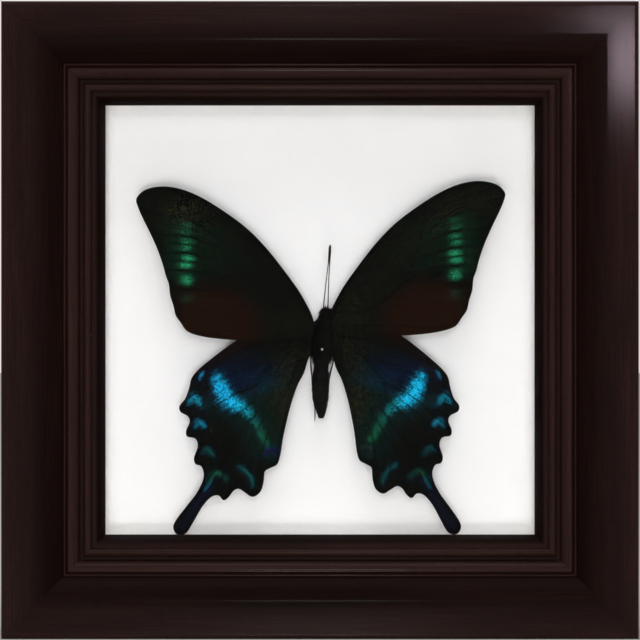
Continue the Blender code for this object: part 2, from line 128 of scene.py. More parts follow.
def smooth_path(corners, count, closed=False):
    """A Catmull-Rom curve through the corners, read at equal steps of its own length."""
    corners = np.asarray(corners, float)
    if closed:
        padded = np.concatenate((corners[-1:], corners, corners[:2]))
        ending = corners[:1]
    else:
        first, last = 2 * corners[:1] - corners[1:2], 2 * corners[-1:] - corners[-2:-1]
        padded = np.concatenate((first, corners, last))
        ending = corners[-1:]
    before, start, end, after = (padded[k:len(padded) - 3 + k, None] for k in range(4))
    t = np.linspace(0.0, 1.0, 16, endpoint=False)[None, :, None]
    curve = (2 * start + (end - before) * t + (2 * before - 5 * start + 4 * end - after) * t ** 2
             + (3 * start - 3 * end + after - before) * t ** 3) / 2
    curve = np.concatenate((curve.reshape(-1, corners.shape[1]), ending))
    run = np.concatenate(([0.0], np.cumsum(np.linalg.norm(np.diff(curve, axis=0), axis=1))))
    wanted = np.linspace(0.0, run[-1], count, endpoint=not closed)
    return np.stack([np.interp(wanted, run, column) for column in curve.T], axis=1)


def trace(points, path):
    """Each point's distance to a path, and how far along the path its nearest place is, 0 to 1."""
    path = np.asarray(path, float)
    steps = np.diff(path, axis=0)
    lengths = np.linalg.norm(steps, axis=1)
    runs = np.concatenate(([0.0], np.cumsum(lengths)))
    nearest = np.full(len(points), np.inf)
    along = np.zeros(len(points))
    for start, step, length, run in zip(path, steps, lengths, runs):
        share = np.clip((points - start) @ step / length ** 2, 0.0, 1.0)
        distance = np.linalg.norm(points - start - share[:, None] * step, axis=1)
        closer = distance < nearest
        nearest[closer] = distance[closer]
        along[closer] = (run + share[closer] * length) / runs[-1]
    return nearest, along


# Meshes and pieces


def grid_quads(rows, columns, wrap):
    """Corner numbers of the quads between neighbouring points of a grid, row by row."""
    across = np.arange(columns if wrap else columns - 1)
    row, column = np.meshgrid(np.arange(rows - 1), across, indexing="ij")
    beside = (column + 1) % columns
    corners = (row * columns + column, row * columns + beside, (row + 1) * columns + beside,
               (row + 1) * columns + column)
    return np.stack(corners, axis=-1).reshape(-1, 4)


def mesh_from(name, points, faces, uv=None, values=None, sharp=40.0):
    """A smooth mesh from arrays, its faces turned outwards, with an optional UV pair for each
    face corner and named numbers for each point."""
    mesh = bpy.data.meshes.new(name)
    mesh.from_pydata(points.reshape(-1, 3).tolist(), [], faces)
    if uv is not None:
        mesh.uv_layers.new(name="grain").data.foreach_set("uv", uv.astype(np.float32).ravel())
    for key, value in (values or {}).items():
        layer = mesh.attributes.new(key, "FLOAT", "POINT")
        layer.data.foreach_set("value", value.astype(np.float32).ravel())
    bm = bmesh.new()
    bm.from_mesh(mesh)
    bmesh.ops.recalc_face_normals(bm, faces=bm.faces)
    bm.to_mesh(mesh)
    bm.free()
    mesh.shade_smooth()
    mesh.set_sharp_from_angle(angle=math.radians(sharp))
    return mesh


def closed_skin(name, rings, first, last, values=None, sharp=40.0):
    """A closed surface: a grid of rings, each wrapped round, with a pole point at either end."""
    rows, columns = rings.shape[:2]
    points = np.concatenate((rings.reshape(-1, 3), np.reshape((first, last), (2, 3))))
    quads = grid_quads(rows, columns, wrap=True)
    here = np.arange(columns)
    there = (here + 1) % columns
    start = np.stack((there, here, np.full(columns, rows * columns)), axis=1)
    foot = (rows - 1) * columns
    end = np.stack((foot + here, foot + there, np.full(columns, rows * columns + 1)), axis=1)
    return mesh_from(name, points, quads.tolist() + start.tolist() + end.tolist(), None, values, sharp)


def turned(name, profile, centre, steps, sharp=40.0):
    """A profile of (radius, depth) carried round an axis that runs front to back."""
    profile = np.asarray(profile, float)
    angle = np.linspace(0.0, math.tau, steps, endpoint=False)
    radius, depth = profile[1:-1, :1], profile[1:-1, 1:]
    rings = place(centre[0] + radius * np.cos(angle), depth, centre[1] + radius * np.sin(angle))
    ends = (place(centre[0], profile[k, 1], centre[1]) for k in (0, -1))
    return closed_skin(name, rings, *ends, sharp=sharp)


def tube(name, path, radii, sides, values=None):
    """A ring of sides points carried along a path in metres, square to it, with the given radii."""
    ahead = np.gradient(path, axis=0)
    ahead /= np.linalg.norm(ahead, axis=1)[:, None]
    across = np.cross(ahead, (0.0, 1.0, 0.0))
    across /= np.linalg.norm(across, axis=1)[:, None]
    up = np.cross(across, ahead)
    angle = np.linspace(0.0, math.tau, sides, endpoint=False)[None, :, None]
    ring = across[:, None] * np.cos(angle) + up[:, None] * np.sin(angle)
    rings = path[:, None] + ring * np.asarray(radii)[:, None, None]
    if values is not None:
        values = {key: np.concatenate((np.repeat(value, sides), value[[0, -1]]))
                  for key, value in values.items()}
    return closed_skin(name, rings, path[0], path[-1], values)


def add_piece(name, mesh, materials, nodes):
    """Put a finished mesh in the scene as a piece that stands for its CAD nodes."""
    if not mesh.polygons:
        raise RuntimeError("No surface was made for " + name)
    piece = bpy.data.objects.new(name, mesh)
    bpy.context.scene.collection.objects.link(piece)
    for material in materials:
        piece.data.materials.append(material)
    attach(piece, BODY)
    if nodes:
        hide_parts(*nodes)
    return piece


def repaint(node, material):
    """Give a CAD node whose shape is right a better material."""
    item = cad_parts[node]
    if not item.material_slots:
        item.data.materials.append(material)
    for holder in item.material_slots:
        holder.material = material


def softened_copy(name, node, material, width, segments=2):
    """A merged copy of a CAD node with its edges rounded by a bevel of the given width in mm."""
    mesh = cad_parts[node].data.copy()
    mesh.materials.clear()
    bm = bmesh.new()
    bm.from_mesh(mesh)
    bmesh.ops.remove_doubles(bm, verts=bm.verts, dist=0.001 * MM)
    bmesh.ops.dissolve_limit(bm, angle_limit=math.radians(1.0), verts=bm.verts, edges=bm.edges)
    bm.to_mesh(mesh)
    bm.free()
    piece = add_piece(name, mesh, [material], [node])
    bevel = piece.modifiers.new("edges", "BEVEL")
    bevel.width = width * MM
    bevel.segments = segments
    bevel.limit_method = "ANGLE"
    bevel.angle_limit = math.radians(40.0)
    return piece


# Materials


def add(tree, kind, inputs=None, out=0, stops=None, **settings):
    """Add a node with its settings and links, and give back one of its outputs, or the node itself
    if out is None. An input is a value or another node's output, listed in order or keyed by
    name; stops are a colour ramp's (position, colour) pairs."""
    node = tree.nodes.new("ShaderNode" + kind)
    node.location = (180 * (len(tree.nodes) % 12), -220 * (len(tree.nodes) // 12))
    for key, value in settings.items():
        setattr(node, key, value)
    pairs = inputs.items() if isinstance(inputs, dict) else enumerate(inputs or ())
    for key, value in pairs:
        if isinstance(value, bpy.types.NodeSocket):
            tree.links.new(value, node.inputs[key])
        else:
            node.inputs[key].default_value = value
    if stops:
        ramp = node.color_ramp
        while len(ramp.elements) < len(stops):
            ramp.elements.new(1.0)
        for element, (position, colour) in zip(ramp.elements, stops):
            element.position = position
            element.color = rgba(colour)
    return node if out is None else node.outputs[out]


def new_material(name, **constants):
    """A material with its Principled shader; constants are sockets set on the shader itself."""
    material = bpy.data.materials.new(name)
    material.use_nodes = True
    tree = material.node_tree
    shader = tree.nodes["Principled BSDF"]
    for key, value in constants.items():
        shader.inputs[key.replace("_", " ")].default_value = value
    return material, tree, shader


def join(tree, shader, **sources):
    """Link outputs to the shader's sockets."""
    for key, source in sources.items():
        tree.links.new(source, shader.inputs[key.replace("_", " ")])


def stained_wood(settings):
    """Espresso-stained poplar under satin lacquer: long dark fibres and short open pores show
    through a thin coat. The arrises and bead tops are lightened, partly as worn stain and partly
    as a painted highlight, and the roll, the groove and the hollow to the sight edge are darkened,
    partly as pooled stain and partly as painted shade."""
    material, tree, shader = new_material(
        "espresso_stained_poplar", Coat_Roughness=0.1, Coat_IOR=1.5, Specular_IOR_Level=0.03)
    along = add(tree, "UVMap", uv_map="grain")
    # Fibre bundles are about 0.5 mm wide and 25 mm long, pores 0.15 mm wide and 3 mm long.
    fibre = add(tree, "Mapping", {"Vector": along, "Scale": (40.0, 2000.0, 1.0)})
    bundles = add(tree, "TexNoise", {
        "Vector": fibre, "Scale": 1.0, "Detail": 8.0, "Roughness": 0.72, "Distortion": 0.35})
    broad = add(tree, "Mapping", {"Vector": along, "Scale": (12.0, 130.0, 1.0)})
    figure = add(tree, "TexNoise", {
        "Vector": broad, "Scale": 1.0, "Detail": 3.0, "Roughness": 0.5, "Distortion": 0.6})
    dashes = add(tree, "Mapping", {"Vector": along, "Scale": (330.0, 6600.0, 1.0)})
    pore_noise = add(tree, "TexNoise", {"Vector": dashes, "Scale": 1.0, "Detail": 1.0})
    pores = add(tree, "MapRange", {
        "Value": pore_noise, "From Min": 0.63, "From Max": 0.72})
    faint_figure = add(tree, "Math", (figure, 0.38), operation="MULTIPLY")
    tone = add(tree, "Math", (bundles, 0.62, faint_figure), operation="MULTIPLY_ADD")
    stain = add(tree, "ValToRGB", {"Fac": tone}, stops=(
        (0.34, settings.stain_dark), (0.5, settings.stain), (0.68, settings.stain_light)))
    # Painted highlight: the arrises and bead tops are lightened towards #513B35, partly worn stain and partly
    # a painted highlight.
    ridge_rub_and_highlight = add(tree, "Attribute", attribute_name="ridge_rub_and_highlight", out="Fac")
    uneven = add(tree, "Math", (bundles, 0.55), operation="MULTIPLY")
    rubbed_and_highlit = add(tree, "Math", (ridge_rub_and_highlight, uneven), operation="MULTIPLY")
    colour = add(tree, "Mix", {0: rubbed_and_highlit, 6: stain, 7: rgba("#513B35")}, out=2, data_type="RGBA")
    # Painted shade: the roll, the groove and the hollow to the sight edge are darkened towards #080403,
    # partly pooled stain and partly painted shade.
    glaze_and_shade = add(tree, "Attribute", attribute_name="glaze_and_shade", out="Fac")
    painted_shade = add(tree, "Math", (glaze_and_shade, 0.8), operation="MULTIPLY")
    colour = add(tree, "Mix", {0: painted_shade, 6: colour, 7: rgba("#080403")}, out=2, data_type="RGBA")
    filled = add(tree, "Math", (pores, 0.75), operation="MULTIPLY")
    colour = add(tree, "Mix", {0: filled, 6: colour, 7: rgba("#0A0504")}, out=2, data_type="RGBA")
    rough = add(tree, "Math", (bundles, 0.22, 0.34), operation="MULTIPLY_ADD")
    height = add(tree, "Math", (bundles, pores), operation="SUBTRACT")
    bump = add(tree, "Bump", {"Height": height, "Strength": 0.25, "Distance": 0.05 * MM})
    worn = add(tree, "Math", (ridge_rub_and_highlight, 0.45, glaze_and_shade), operation="MULTIPLY_ADD")
    lacquer = add(tree, "Math", (worn, -1.4 * settings.lacquer, settings.lacquer),
                  operation="MULTIPLY_ADD", use_clamp=True)
    join(tree, shader, Base_Color=colour, Roughness=rough, Normal=bump, Coat_Weight=lacquer)
    return material


def raw_wood_back(settings):
    """Raw sawn poplar on the rails' backs and in the rebate, with stain sprayed over it from the
    outer edges and saw marks across the grain."""
    material, tree, shader = new_material("sawn_poplar_back", Specular_IOR_Level=0.3)
    place_in_room = add(tree, "TexCoord", out="Object")
    along = add(tree, "UVMap", uv_map="grain")
    fibre = add(tree, "Mapping", {"Vector": along, "Scale": (60.0, 1800.0, 1.0)})
    bundles = add(tree, "TexNoise", {
        "Vector": fibre, "Scale": 1.0, "Detail": 5.0, "Roughness": 0.6})
    wood = add(tree, "ValToRGB", {"Fac": bundles}, stops=(
        (0.3, "#8A6238"), (0.52, settings.raw_wood), (0.75, "#C9A473")))
    axes = add(tree, "SeparateXYZ", {"Vector": place_in_room}, out=None)
    height = add(tree, "Math", (axes.outputs["Z"], HALF_SIDE * MM), operation="SUBTRACT")
    sideways, upright = (add(tree, "Math", (distance,), operation="ABSOLUTE")
                         for distance in (axes.outputs["X"], height))
    outwards = add(tree, "Math", (sideways, upright), operation="MAXIMUM")
    ragged = add(tree, "TexNoise", {
        "Vector": place_in_room, "Scale": 90.0, "Detail": 6.0, "Roughness": 0.7})
    reach = add(tree, "Math", (ragged, 14.0 * MM, outwards), operation="MULTIPLY_ADD")
    spray = add(tree, "MapRange", {
        "Value": reach, "From Min": (HALF_SIDE + 1.0) * MM, "From Max": (HALF_SIDE + 7.5) * MM})
    spray = add(tree, "Math", (spray, 0.92), operation="MULTIPLY")
    colour = add(tree, "Mix", {0: spray, 6: wood, 7: rgba("#2A1912")}, out=2, data_type="RGBA")
    saw = add(tree, "TexWave", {
        "Vector": along, "Scale": 330.0, "Distortion": 2.0, "Detail": 2.0}, bands_direction="X", out="Fac")
    relief = add(tree, "Math", (saw, 0.4, bundles), operation="MULTIPLY_ADD")
    bump = add(tree, "Bump", {"Height": relief, "Strength": 0.35, "Distance": 0.08 * MM})
    rough = add(tree, "Math", (bundles, 0.2, 0.62), operation="MULTIPLY_ADD")
    join(tree, shader, Base_Color=colour, Roughness=rough, Normal=bump)
    return material


def paper_card(name, colour, tooth):
    """Matt paper-faced board: a faint mottle of pulp and a fine tooth that keeps it from shining.
    The tooth is given in millimetres."""
    material, tree, shader = new_material(name, Specular_IOR_Level=0.2)
    spot = add(tree, "TexCoord", out="Object")
    pulp = add(tree, "TexNoise", {
        "Vector": spot, "Scale": 1 / (4.0 * MM), "Detail": 6.0, "Roughness": 0.7})
    grit = add(tree, "TexNoise", {
        "Vector": spot, "Scale": 1 / (tooth * MM), "Detail": 2.0, "Roughness": 0.6})
    half_pulp = add(tree, "Math", (pulp, 0.5), operation="MULTIPLY")
    mottle = add(tree, "Math", (grit, 0.5, half_pulp), operation="MULTIPLY_ADD")
    shade = add(tree, "MapRange", {
        "Value": mottle, "From Min": 0.3, "From Max": 0.7, "To Min": 0.955, "To Max": 1.0})
    tone = add(tree, "CombineColor", {0: shade, 1: shade, 2: shade})
    bump = add(tree, "Bump", {"Height": grit, "Strength": 0.12, "Distance": 0.04 * MM})
    rough = add(tree, "Math", (pulp, 0.12, 0.78), operation="MULTIPLY_ADD")
    tinted = add(tree, "Mix", {0: 1.0, 6: rgba(colour), 7: tone}, out=2, data_type="RGBA",
                 blend_type="MULTIPLY")
    join(tree, shader, Base_Color=tinted, Roughness=rough, Normal=bump)
    return material


def hardboard(settings):
    """Pressed brown hardboard with the screen print of its press on the back: a small woven
    relief over flecked fibre."""
    material, tree, shader = new_material("pressed_hardboard", Specular_IOR_Level=0.3)
    spot = add(tree, "TexCoord", out="Object")
    flecks = add(tree, "TexNoise", {
        "Vector": spot, "Scale": 1 / (0.9 * MM), "Detail": 8.0, "Roughness": 0.7, "Distortion": 1.2})
    colour = add(tree, "ValToRGB", {"Fac": flecks}, stops=(
        (0.3, "#523521"), (0.5, settings.hardboard), (0.72, "#8A6244")))
    # The screen's wires are 1.8 mm apart: a wave of scale s repeats every tau / (20 s) metres.
    wires = {"Vector": spot, "Scale": math.tau / (20 * 1.8 * MM), "Distortion": 0.6, "Detail": 1.0}
    mesh_x, mesh_z = (add(tree, "TexWave", wires, bands_direction=direction, out="Fac")
                      for direction in ("X", "Z"))
    weave = add(tree, "Math", (mesh_x, mesh_z), operation="MULTIPLY")
    fuzz = add(tree, "Math", (flecks, 0.5), operation="MULTIPLY")
    relief = add(tree, "Math", (weave, 0.8, fuzz), operation="MULTIPLY_ADD")
    bump = add(tree, "Bump", {"Height": relief, "Strength": 0.5, "Distance": 0.12 * MM})
    rough = add(tree, "Math", (flecks, 0.25, 0.58), operation="MULTIPLY_ADD")
    join(tree, shader, Base_Color=colour, Roughness=rough, Normal=bump)
    return material


def float_glass():
    """Anti-reflection coated float glass: clear, with a very slight roll that bends reflections."""
    material, tree, shader = new_material(
        "coated_float_glass", Base_Color=rgba("#FBFDFC"), Roughness=0.0, IOR=1.5, Transmission_Weight=1.0,
        Specular_Tint=(0.04, 0.045, 0.055, 1.0))
    spot = add(tree, "TexCoord", out="Object")
    roll = add(tree, "TexNoise", {
        "Vector": spot, "Scale": 1 / (40.0 * MM), "Detail": 1.0})
    bump = add(tree, "Bump", {"Height": roll, "Strength": 0.02, "Distance": 0.3 * MM})
    join(tree, shader, Normal=bump)
    return material


def plated_steel(name, colour, grain, roughness):
    """Bright plated steel, stamped and barrel finished: a soft mirror broken by short fine
    scratches and a cloudy plating. The scratches are four grains long and a ninth of that wide,
    with the grain given in millimetres."""
    material, tree, shader = new_material(name, Metallic=1.0)
    spot = add(tree, "TexCoord", out="Object")
    stretched = add(tree, "Mapping", {"Vector": spot, "Scale": (1.0, 1.0, 9.0)})
    scratches = add(tree, "TexNoise", {
        "Vector": stretched, "Scale": 1 / (grain * MM) / 4, "Detail": 5.0, "Roughness": 0.7})
    cloud = add(tree, "TexNoise", {
        "Vector": spot, "Scale": 1 / (2.5 * MM), "Detail": 4.0})
    tone = add(tree, "MapRange", {
        "Value": cloud, "From Min": 0.3, "From Max": 0.7, "To Min": 0.8, "To Max": 1.0})
    grey = add(tree, "CombineColor", {0: tone, 1: tone, 2: tone})
    rough = add(tree, "Math", (scratches, 0.25, roughness - 0.1), operation="MULTIPLY_ADD")
    bump = add(tree, "Bump", {"Height": scratches, "Strength": 0.12, "Distance": 0.02 * MM})
    tinted = add(tree, "Mix", {0: 1.0, 6: rgba(colour), 7: grey}, out=2, data_type="RGBA",
                 blend_type="MULTIPLY")
    join(tree, shader, Base_Color=tinted, Roughness=rough, Normal=bump)
    return material


def wing_scales(settings):
    """Black wing membrane tiled with scales: matt black or brown ones, dusted with structural
    green and blue scales that crowd together in the bands and thin out to single grains."""
    material, tree, shader = new_material("swallowtail_wing_scales", Specular_IOR_Level=0.01)
    spot = add(tree, "TexCoord", out="Object")
    # Real scales are 0.1 mm wide; they are drawn larger so that single grains show.
    cells = add(tree, "TexVoronoi", {
        "Vector": spot, "Scale": 1 / settings.scale_size, "Randomness": 1.0}, out=None)
    lot = add(tree, "SeparateColor", {"Color": cells.outputs["Color"]}, out=None)
    soft = add(tree, "TexNoise", {
        "Vector": spot, "Scale": 1 / (0.9 * MM), "Detail": 4.0, "Roughness": 0.7})
    read = {key: add(tree, "Attribute", attribute_name=key, out="Fac")
            for key in ("gleam", "hue", "brown", "dust", "vein")}
    # Each scale draws a lot: gleaming ones crowd where the mark is strong and thin out beside it.
    speckle = add(tree, "TexNoise", {
        "Vector": spot, "Scale": 1 / (0.45 * MM), "Detail": 3.0, "Roughness": 0.8})
    crowd = add(tree, "MapRange", {
        "Value": speckle, "From Min": 0.4, "From Max": 0.6, "To Min": 0.1, "To Max": 1.6})
    draw = add(tree, "Math", (lot.outputs[0], 0.5, 0.75), operation="MULTIPLY_ADD")
    chance = add(tree, "Math", (draw, crowd), operation="MULTIPLY")
    # On the forewing the gleam carries painted glint highlights as well as the green scales.
    gleam = add(tree, "Math", (read["gleam"], chance), operation="MULTIPLY", use_clamp=True)
    bare = add(tree, "Math", (lot.outputs[1], 0.1), operation="SUBTRACT")
    dusted = add(tree, "Math", (lot.outputs[1], 0.25), operation="ADD")
    dust = add(tree, "MapRange", {"Value": read["dust"], "From Min": bare, "From Max": dusted})
    stray = add(tree, "Math", (lot.outputs[2], 0.1, -0.05), operation="MULTIPLY_ADD")
    hue = add(tree, "Math", (read["hue"], stray), operation="ADD")
    structural = add(tree, "ValToRGB", {"Fac": hue}, stops=(
        (0.0, settings.green), (0.25, "#1B7A5A"), (0.45, "#127E84"), (0.62, settings.azure),
        (0.78, "#1560A0"), (0.9, "#20357A"), (1.0, settings.violet)))
    shadowed = add(tree, "Math", (soft, 0.35), operation="MULTIPLY")
    powdered = add(tree, "Math", (dust, 0.75), operation="MULTIPLY")
    lined = add(tree, "Math", (read["vein"], 0.35), operation="MULTIPLY")
    # Each layer covers those before it by its own share.
    colour = rgba(settings.black)
    for layer, cover in ((read["brown"], rgba(settings.brown)), (shadowed, rgba("#050604")),
                         (powdered, rgba("#42422A")), (gleam, structural), (lined, rgba("#040403"))):
        colour = add(tree, "Mix", {0: layer, 6: colour, 7: cover}, out=2, data_type="RGBA")
    rough = add(tree, "Math", (gleam, -0.2, 0.68), operation="MULTIPLY_ADD")
    tiles = add(tree, "Math", (cells.outputs["Distance"], 0.6, soft), operation="MULTIPLY_ADD")
    bump = add(tree, "Bump", {"Height": tiles, "Strength": 0.06, "Distance": 0.04 * MM})
    join(tree, shader, Base_Color=colour, Roughness=rough, Normal=bump)
    return material


def dry_cuticle(name, colour, light, roughness):
    """Dry insect cuticle: hard dark horn with a waxy gleam, mottled and finely wrinkled."""
    material, tree, shader = new_material(name, Specular_IOR_Level=0.06)
    spot = add(tree, "TexCoord", out="Object")
    mottle = add(tree, "TexNoise", {
        "Vector": spot, "Scale": 1 / (0.8 * MM), "Detail": 5.0, "Roughness": 0.65})
    tone = add(tree, "ValToRGB", {"Fac": mottle}, stops=((0.35, colour), (0.7, light)))
    rough = add(tree, "Math", (mottle, 0.25, roughness - 0.12), operation="MULTIPLY_ADD")
    bump = add(tree, "Bump", {"Height": mottle, "Strength": 0.3, "Distance": 0.05 * MM})
    join(tree, shader, Base_Color=tone, Roughness=rough, Normal=bump)
    return material


def black_fur(settings):
    """Hair scales of the thorax and abdomen: dull black at the root, browner and a little
    translucent looking at the tip, each hair a shade of its own."""
    material, tree, shader = new_material("black_body_hair", Specular_IOR_Level=0.08)
    tip = add(tree, "Attribute", attribute_name="tip", out="Fac")
    lot = add(tree, "Attribute", attribute_name="lot", out="Fac")
    towards_tip = add(tree, "Math", (tip, 0.55), operation="MULTIPLY")
    shade = add(tree, "Math", (lot, 0.45, towards_tip), operation="MULTIPLY_ADD")
    tone = add(tree, "ValToRGB", {"Fac": shade}, stops=(
        (0.0, "#060505"), (0.5, settings.fur), (1.0, settings.fur_tip)))
    rough = add(tree, "Math", (lot, 0.15, 0.55), operation="MULTIPLY_ADD")
    join(tree, shader, Base_Color=tone, Roughness=rough)
    return material


# Settings


def colour_setting(name, description, hex_colour):
    """A colour property that starts at an sRGB colour written as #RRGGBB."""
    return FloatVectorProperty(
        name=name, description=description, default=linear(hex_colour), subtype="COLOR", min=0.0, max=1.0)


class FrameSettings(bpy.types.PropertyGroup):
    """Finish of the frame and of what is fixed to it."""

    seam: FloatProperty(
        name="Mitre seam", description="Half the hairline left between two rails at a mitre",
        default=0.0, min=0.0, max=0.1 * MM, unit="LENGTH", precision=6)
    arris: FloatProperty(
        name="Outer arris", description="Radius of the moulding's rounded outer edge",
        default=1.2 * MM, min=0.2 * MM, max=3.0 * MM, unit="LENGTH", precision=5)
    lacquer: FloatProperty(
        name="Lacquer", description="Strength of the satin lacquer over the stain",
        default=0.085, min=0.0, max=1.0, subtype="FACTOR")
    stain: colour_setting("Stain", "Colour of the stained wood", "#271411")
    stain_dark: colour_setting("Dark stain", "Colour of the wood's darker fibres", "#1C0E0C")
    stain_light: colour_setting("Light stain", "Colour of the wood's lighter fibres", "#35211C")
    raw_wood: colour_setting("Raw wood", "Colour of the unstained back of the rails", "#B08A5A")
    hardboard: colour_setting("Hardboard", "Colour of the backboard", "#6E4A31")
    board: colour_setting("Mount board", "Colour of the board behind the insect", "#FAF6F8")
    card: colour_setting("Spacer card", "Colour of the card strips beside the glass", "#EFEDE6")
    zinc: colour_setting("Zinc plating", "Colour of the nails and tabs", "#B4B8BC")
    brass_plate: colour_setting(
        "Hanger plating", "Colour of the sawtooth hanger and its rivets", "#C9C4B8")


class SpecimenSettings(bpy.types.PropertyGroup):
    """Sizes and colours of the butterfly."""

    blade: FloatProperty(
        name="Wing thickness", description="Thickness of a wing's membrane with its scales",
        default=0.14 * MM, min=0.05 * MM, max=0.4 * MM, unit="LENGTH", precision=5)
    scale_size: FloatProperty(
        name="Scale size", description="Drawn size of one wing scale",
        default=0.26 * MM, min=0.08 * MM, max=1.0 * MM, unit="LENGTH", precision=5)
    hairs: IntProperty(
        name="Body hairs", description="Number of hairs on the head, thorax and abdomen",
        default=9000, min=500, max=12000)
    black: colour_setting("Ground black", "Colour of the plain black scales", "#070705")
    brown: colour_setting("Forewing brown", "Colour of the brown flush on the forewings", "#1E0B04")
    green: colour_setting("Green scales", "Colour of the emerald scales", "#2C9A66")
    azure: colour_setting("Azure scales", "Colour of the brightest blue scales", "#16BEF0")
    violet: colour_setting("Violet scales", "Colour of the violet scales", "#4A2378")
    fur: colour_setting("Body hair", "Colour of the body hair", "#060503")
    fur_tip: colour_setting("Hair tips", "Colour of the palest hair tips", "#120E08")


class StudioSettings(bpy.types.PropertyGroup):
    """Camera, floor and lights."""

    distance: FloatProperty(
        name="Camera distance", description="From the frame's front plane to the camera",
        default=0.8, min=0.2, max=5.0, unit="LENGTH")
    width: FloatProperty(
        name="Framed width", description="Width that the picture takes in at the front plane",
        default=0.1784, min=0.05, max=1.0, unit="LENGTH", precision=4)
    floor: colour_setting("Floor", "Colour of the floor", "#E9E7E2")
    front: FloatProperty(
        name="Front light", description="Power of the soft light below the camera", default=11.6,
        min=0.0, unit="POWER")
    high: FloatProperty(
        name="High light", description="Power of the soft light above the camera", default=6.9,
        min=0.0, unit="POWER")
    top: FloatProperty(
        name="Top light", description="Power of the soft light high above the frame", default=2.8,
        min=0.0, unit="POWER")
    glance: FloatProperty(
        name="Glancing light", description="Power of the light that gleams on one corner",
        default=0.0008, min=0.0, unit="POWER", precision=5)
    ambient: FloatProperty(
        name="Ambient", description="Brightness of the surroundings", default=0.42, min=0.0)


# The frame


def moulding_section(arris):
    """The rail's section as (distance in from the outer edge, depth): a rounded arris, a flat that
    rolls over as 3.7 mm times the 2.2th power of the way, a fillet, a quarter-round bead, a
    groove, a small bead, a ledge, a hollow down to the sight edge, and the rebate behind it."""
    back_round = 0.35
    roll_start, roll_width, roll_drop = 8.8, 8.3, 3.7
    rebate_wall, lip_back, groove = 25.2, 10.5, 6.4
    along = np.linspace(0.0, 1.0, 26)
    roll = np.stack((roll_start + roll_width * along, roll_drop * along ** 2.2), axis=1)
    pieces = (
        arc((back_round, FRAME_DEPTH - back_round), (back_round, back_round), 90, 180, 4),
        arc((arris, arris), (arris, arris), 180, 270, 10),
        ((arris + 0.06, 0.0), (5.0, 0.0), (roll_start - 0.1, 0.0)),
        roll,
        ((17.16, 3.5), (17.24, 3.36), (17.36, 3.3), (17.62, 3.3), (17.74, 3.36), (17.82, 3.5),
         (17.98, 4.0), (18.08, 4.1), (18.2, 4.02), (18.34, 3.86)),
        arc((18.5, 6.0), (2.8, 2.2), 272, 360, 16),
        ((21.38, 6.6), (21.6, 6.9), (22.35, 6.9), (22.6, 6.6)),
        arc((23.8, 6.0), (1.1, 1.4), 180, 360, 20),
        ((24.98, 6.28), (25.1, groove), (26.0, groove), (26.16, 6.44), (26.5, 6.7), (27.05, 7.36),
         (27.6, 8.2), (28.05, 9.05), (SIGHT_EDGE - 0.08, 9.68), (SIGHT_EDGE, 9.82),
         (SIGHT_EDGE, lip_back - 0.1), (SIGHT_EDGE - 0.1, lip_back), (rebate_wall, lip_back),
         (rebate_wall, FRAME_DEPTH - 0.12), (rebate_wall - 0.12, FRAME_DEPTH)))
    return np.concatenate([np.asarray(piece, float) for piece in pieces])


# How much the stain is worn lighter as a painted highlight, and how much it is darkened as pooled stain and
# painted shade, at insets across the moulding
RIDGE_HIGHLIGHT_INSETS = (0.0, 0.5, 1.6, 17.1, 17.45, 17.8, 18.3, 18.9, 20.2, 21.1, 22.9, 23.5, 24.3, 24.9,
                28.1, 28.4)
RIDGE_WEAR_AND_HIGHLIGHT = (0.9, 0.8, 0.0, 0.0, 0.8, 0.2, 0.2, 1.0, 0.8, 0.9, 0.9, 0.9, 0.9, 0.6, 0.0, 0.3)
SHADE_GLAZE_INSETS = (0.0, 7.5, 9.8, 17.0, 17.3, 17.8, 18.1, 18.6, 21.0, 21.32, 21.6, 22.3, 22.6, 23.4, 24.1,
                25.1, 26.0, 26.6, 28.0, 28.4)
SHADE_GLAZE_DEPTH = (0.05, 0.2, 0.62, 0.72, 0.0, 0.3, 0.6, 0.0, 0.0, 0.0, 0.5, 0.3, 0.0, 0.0, 0.1, 0.2, 0.35, 0.9,
               0.9, 0.3)


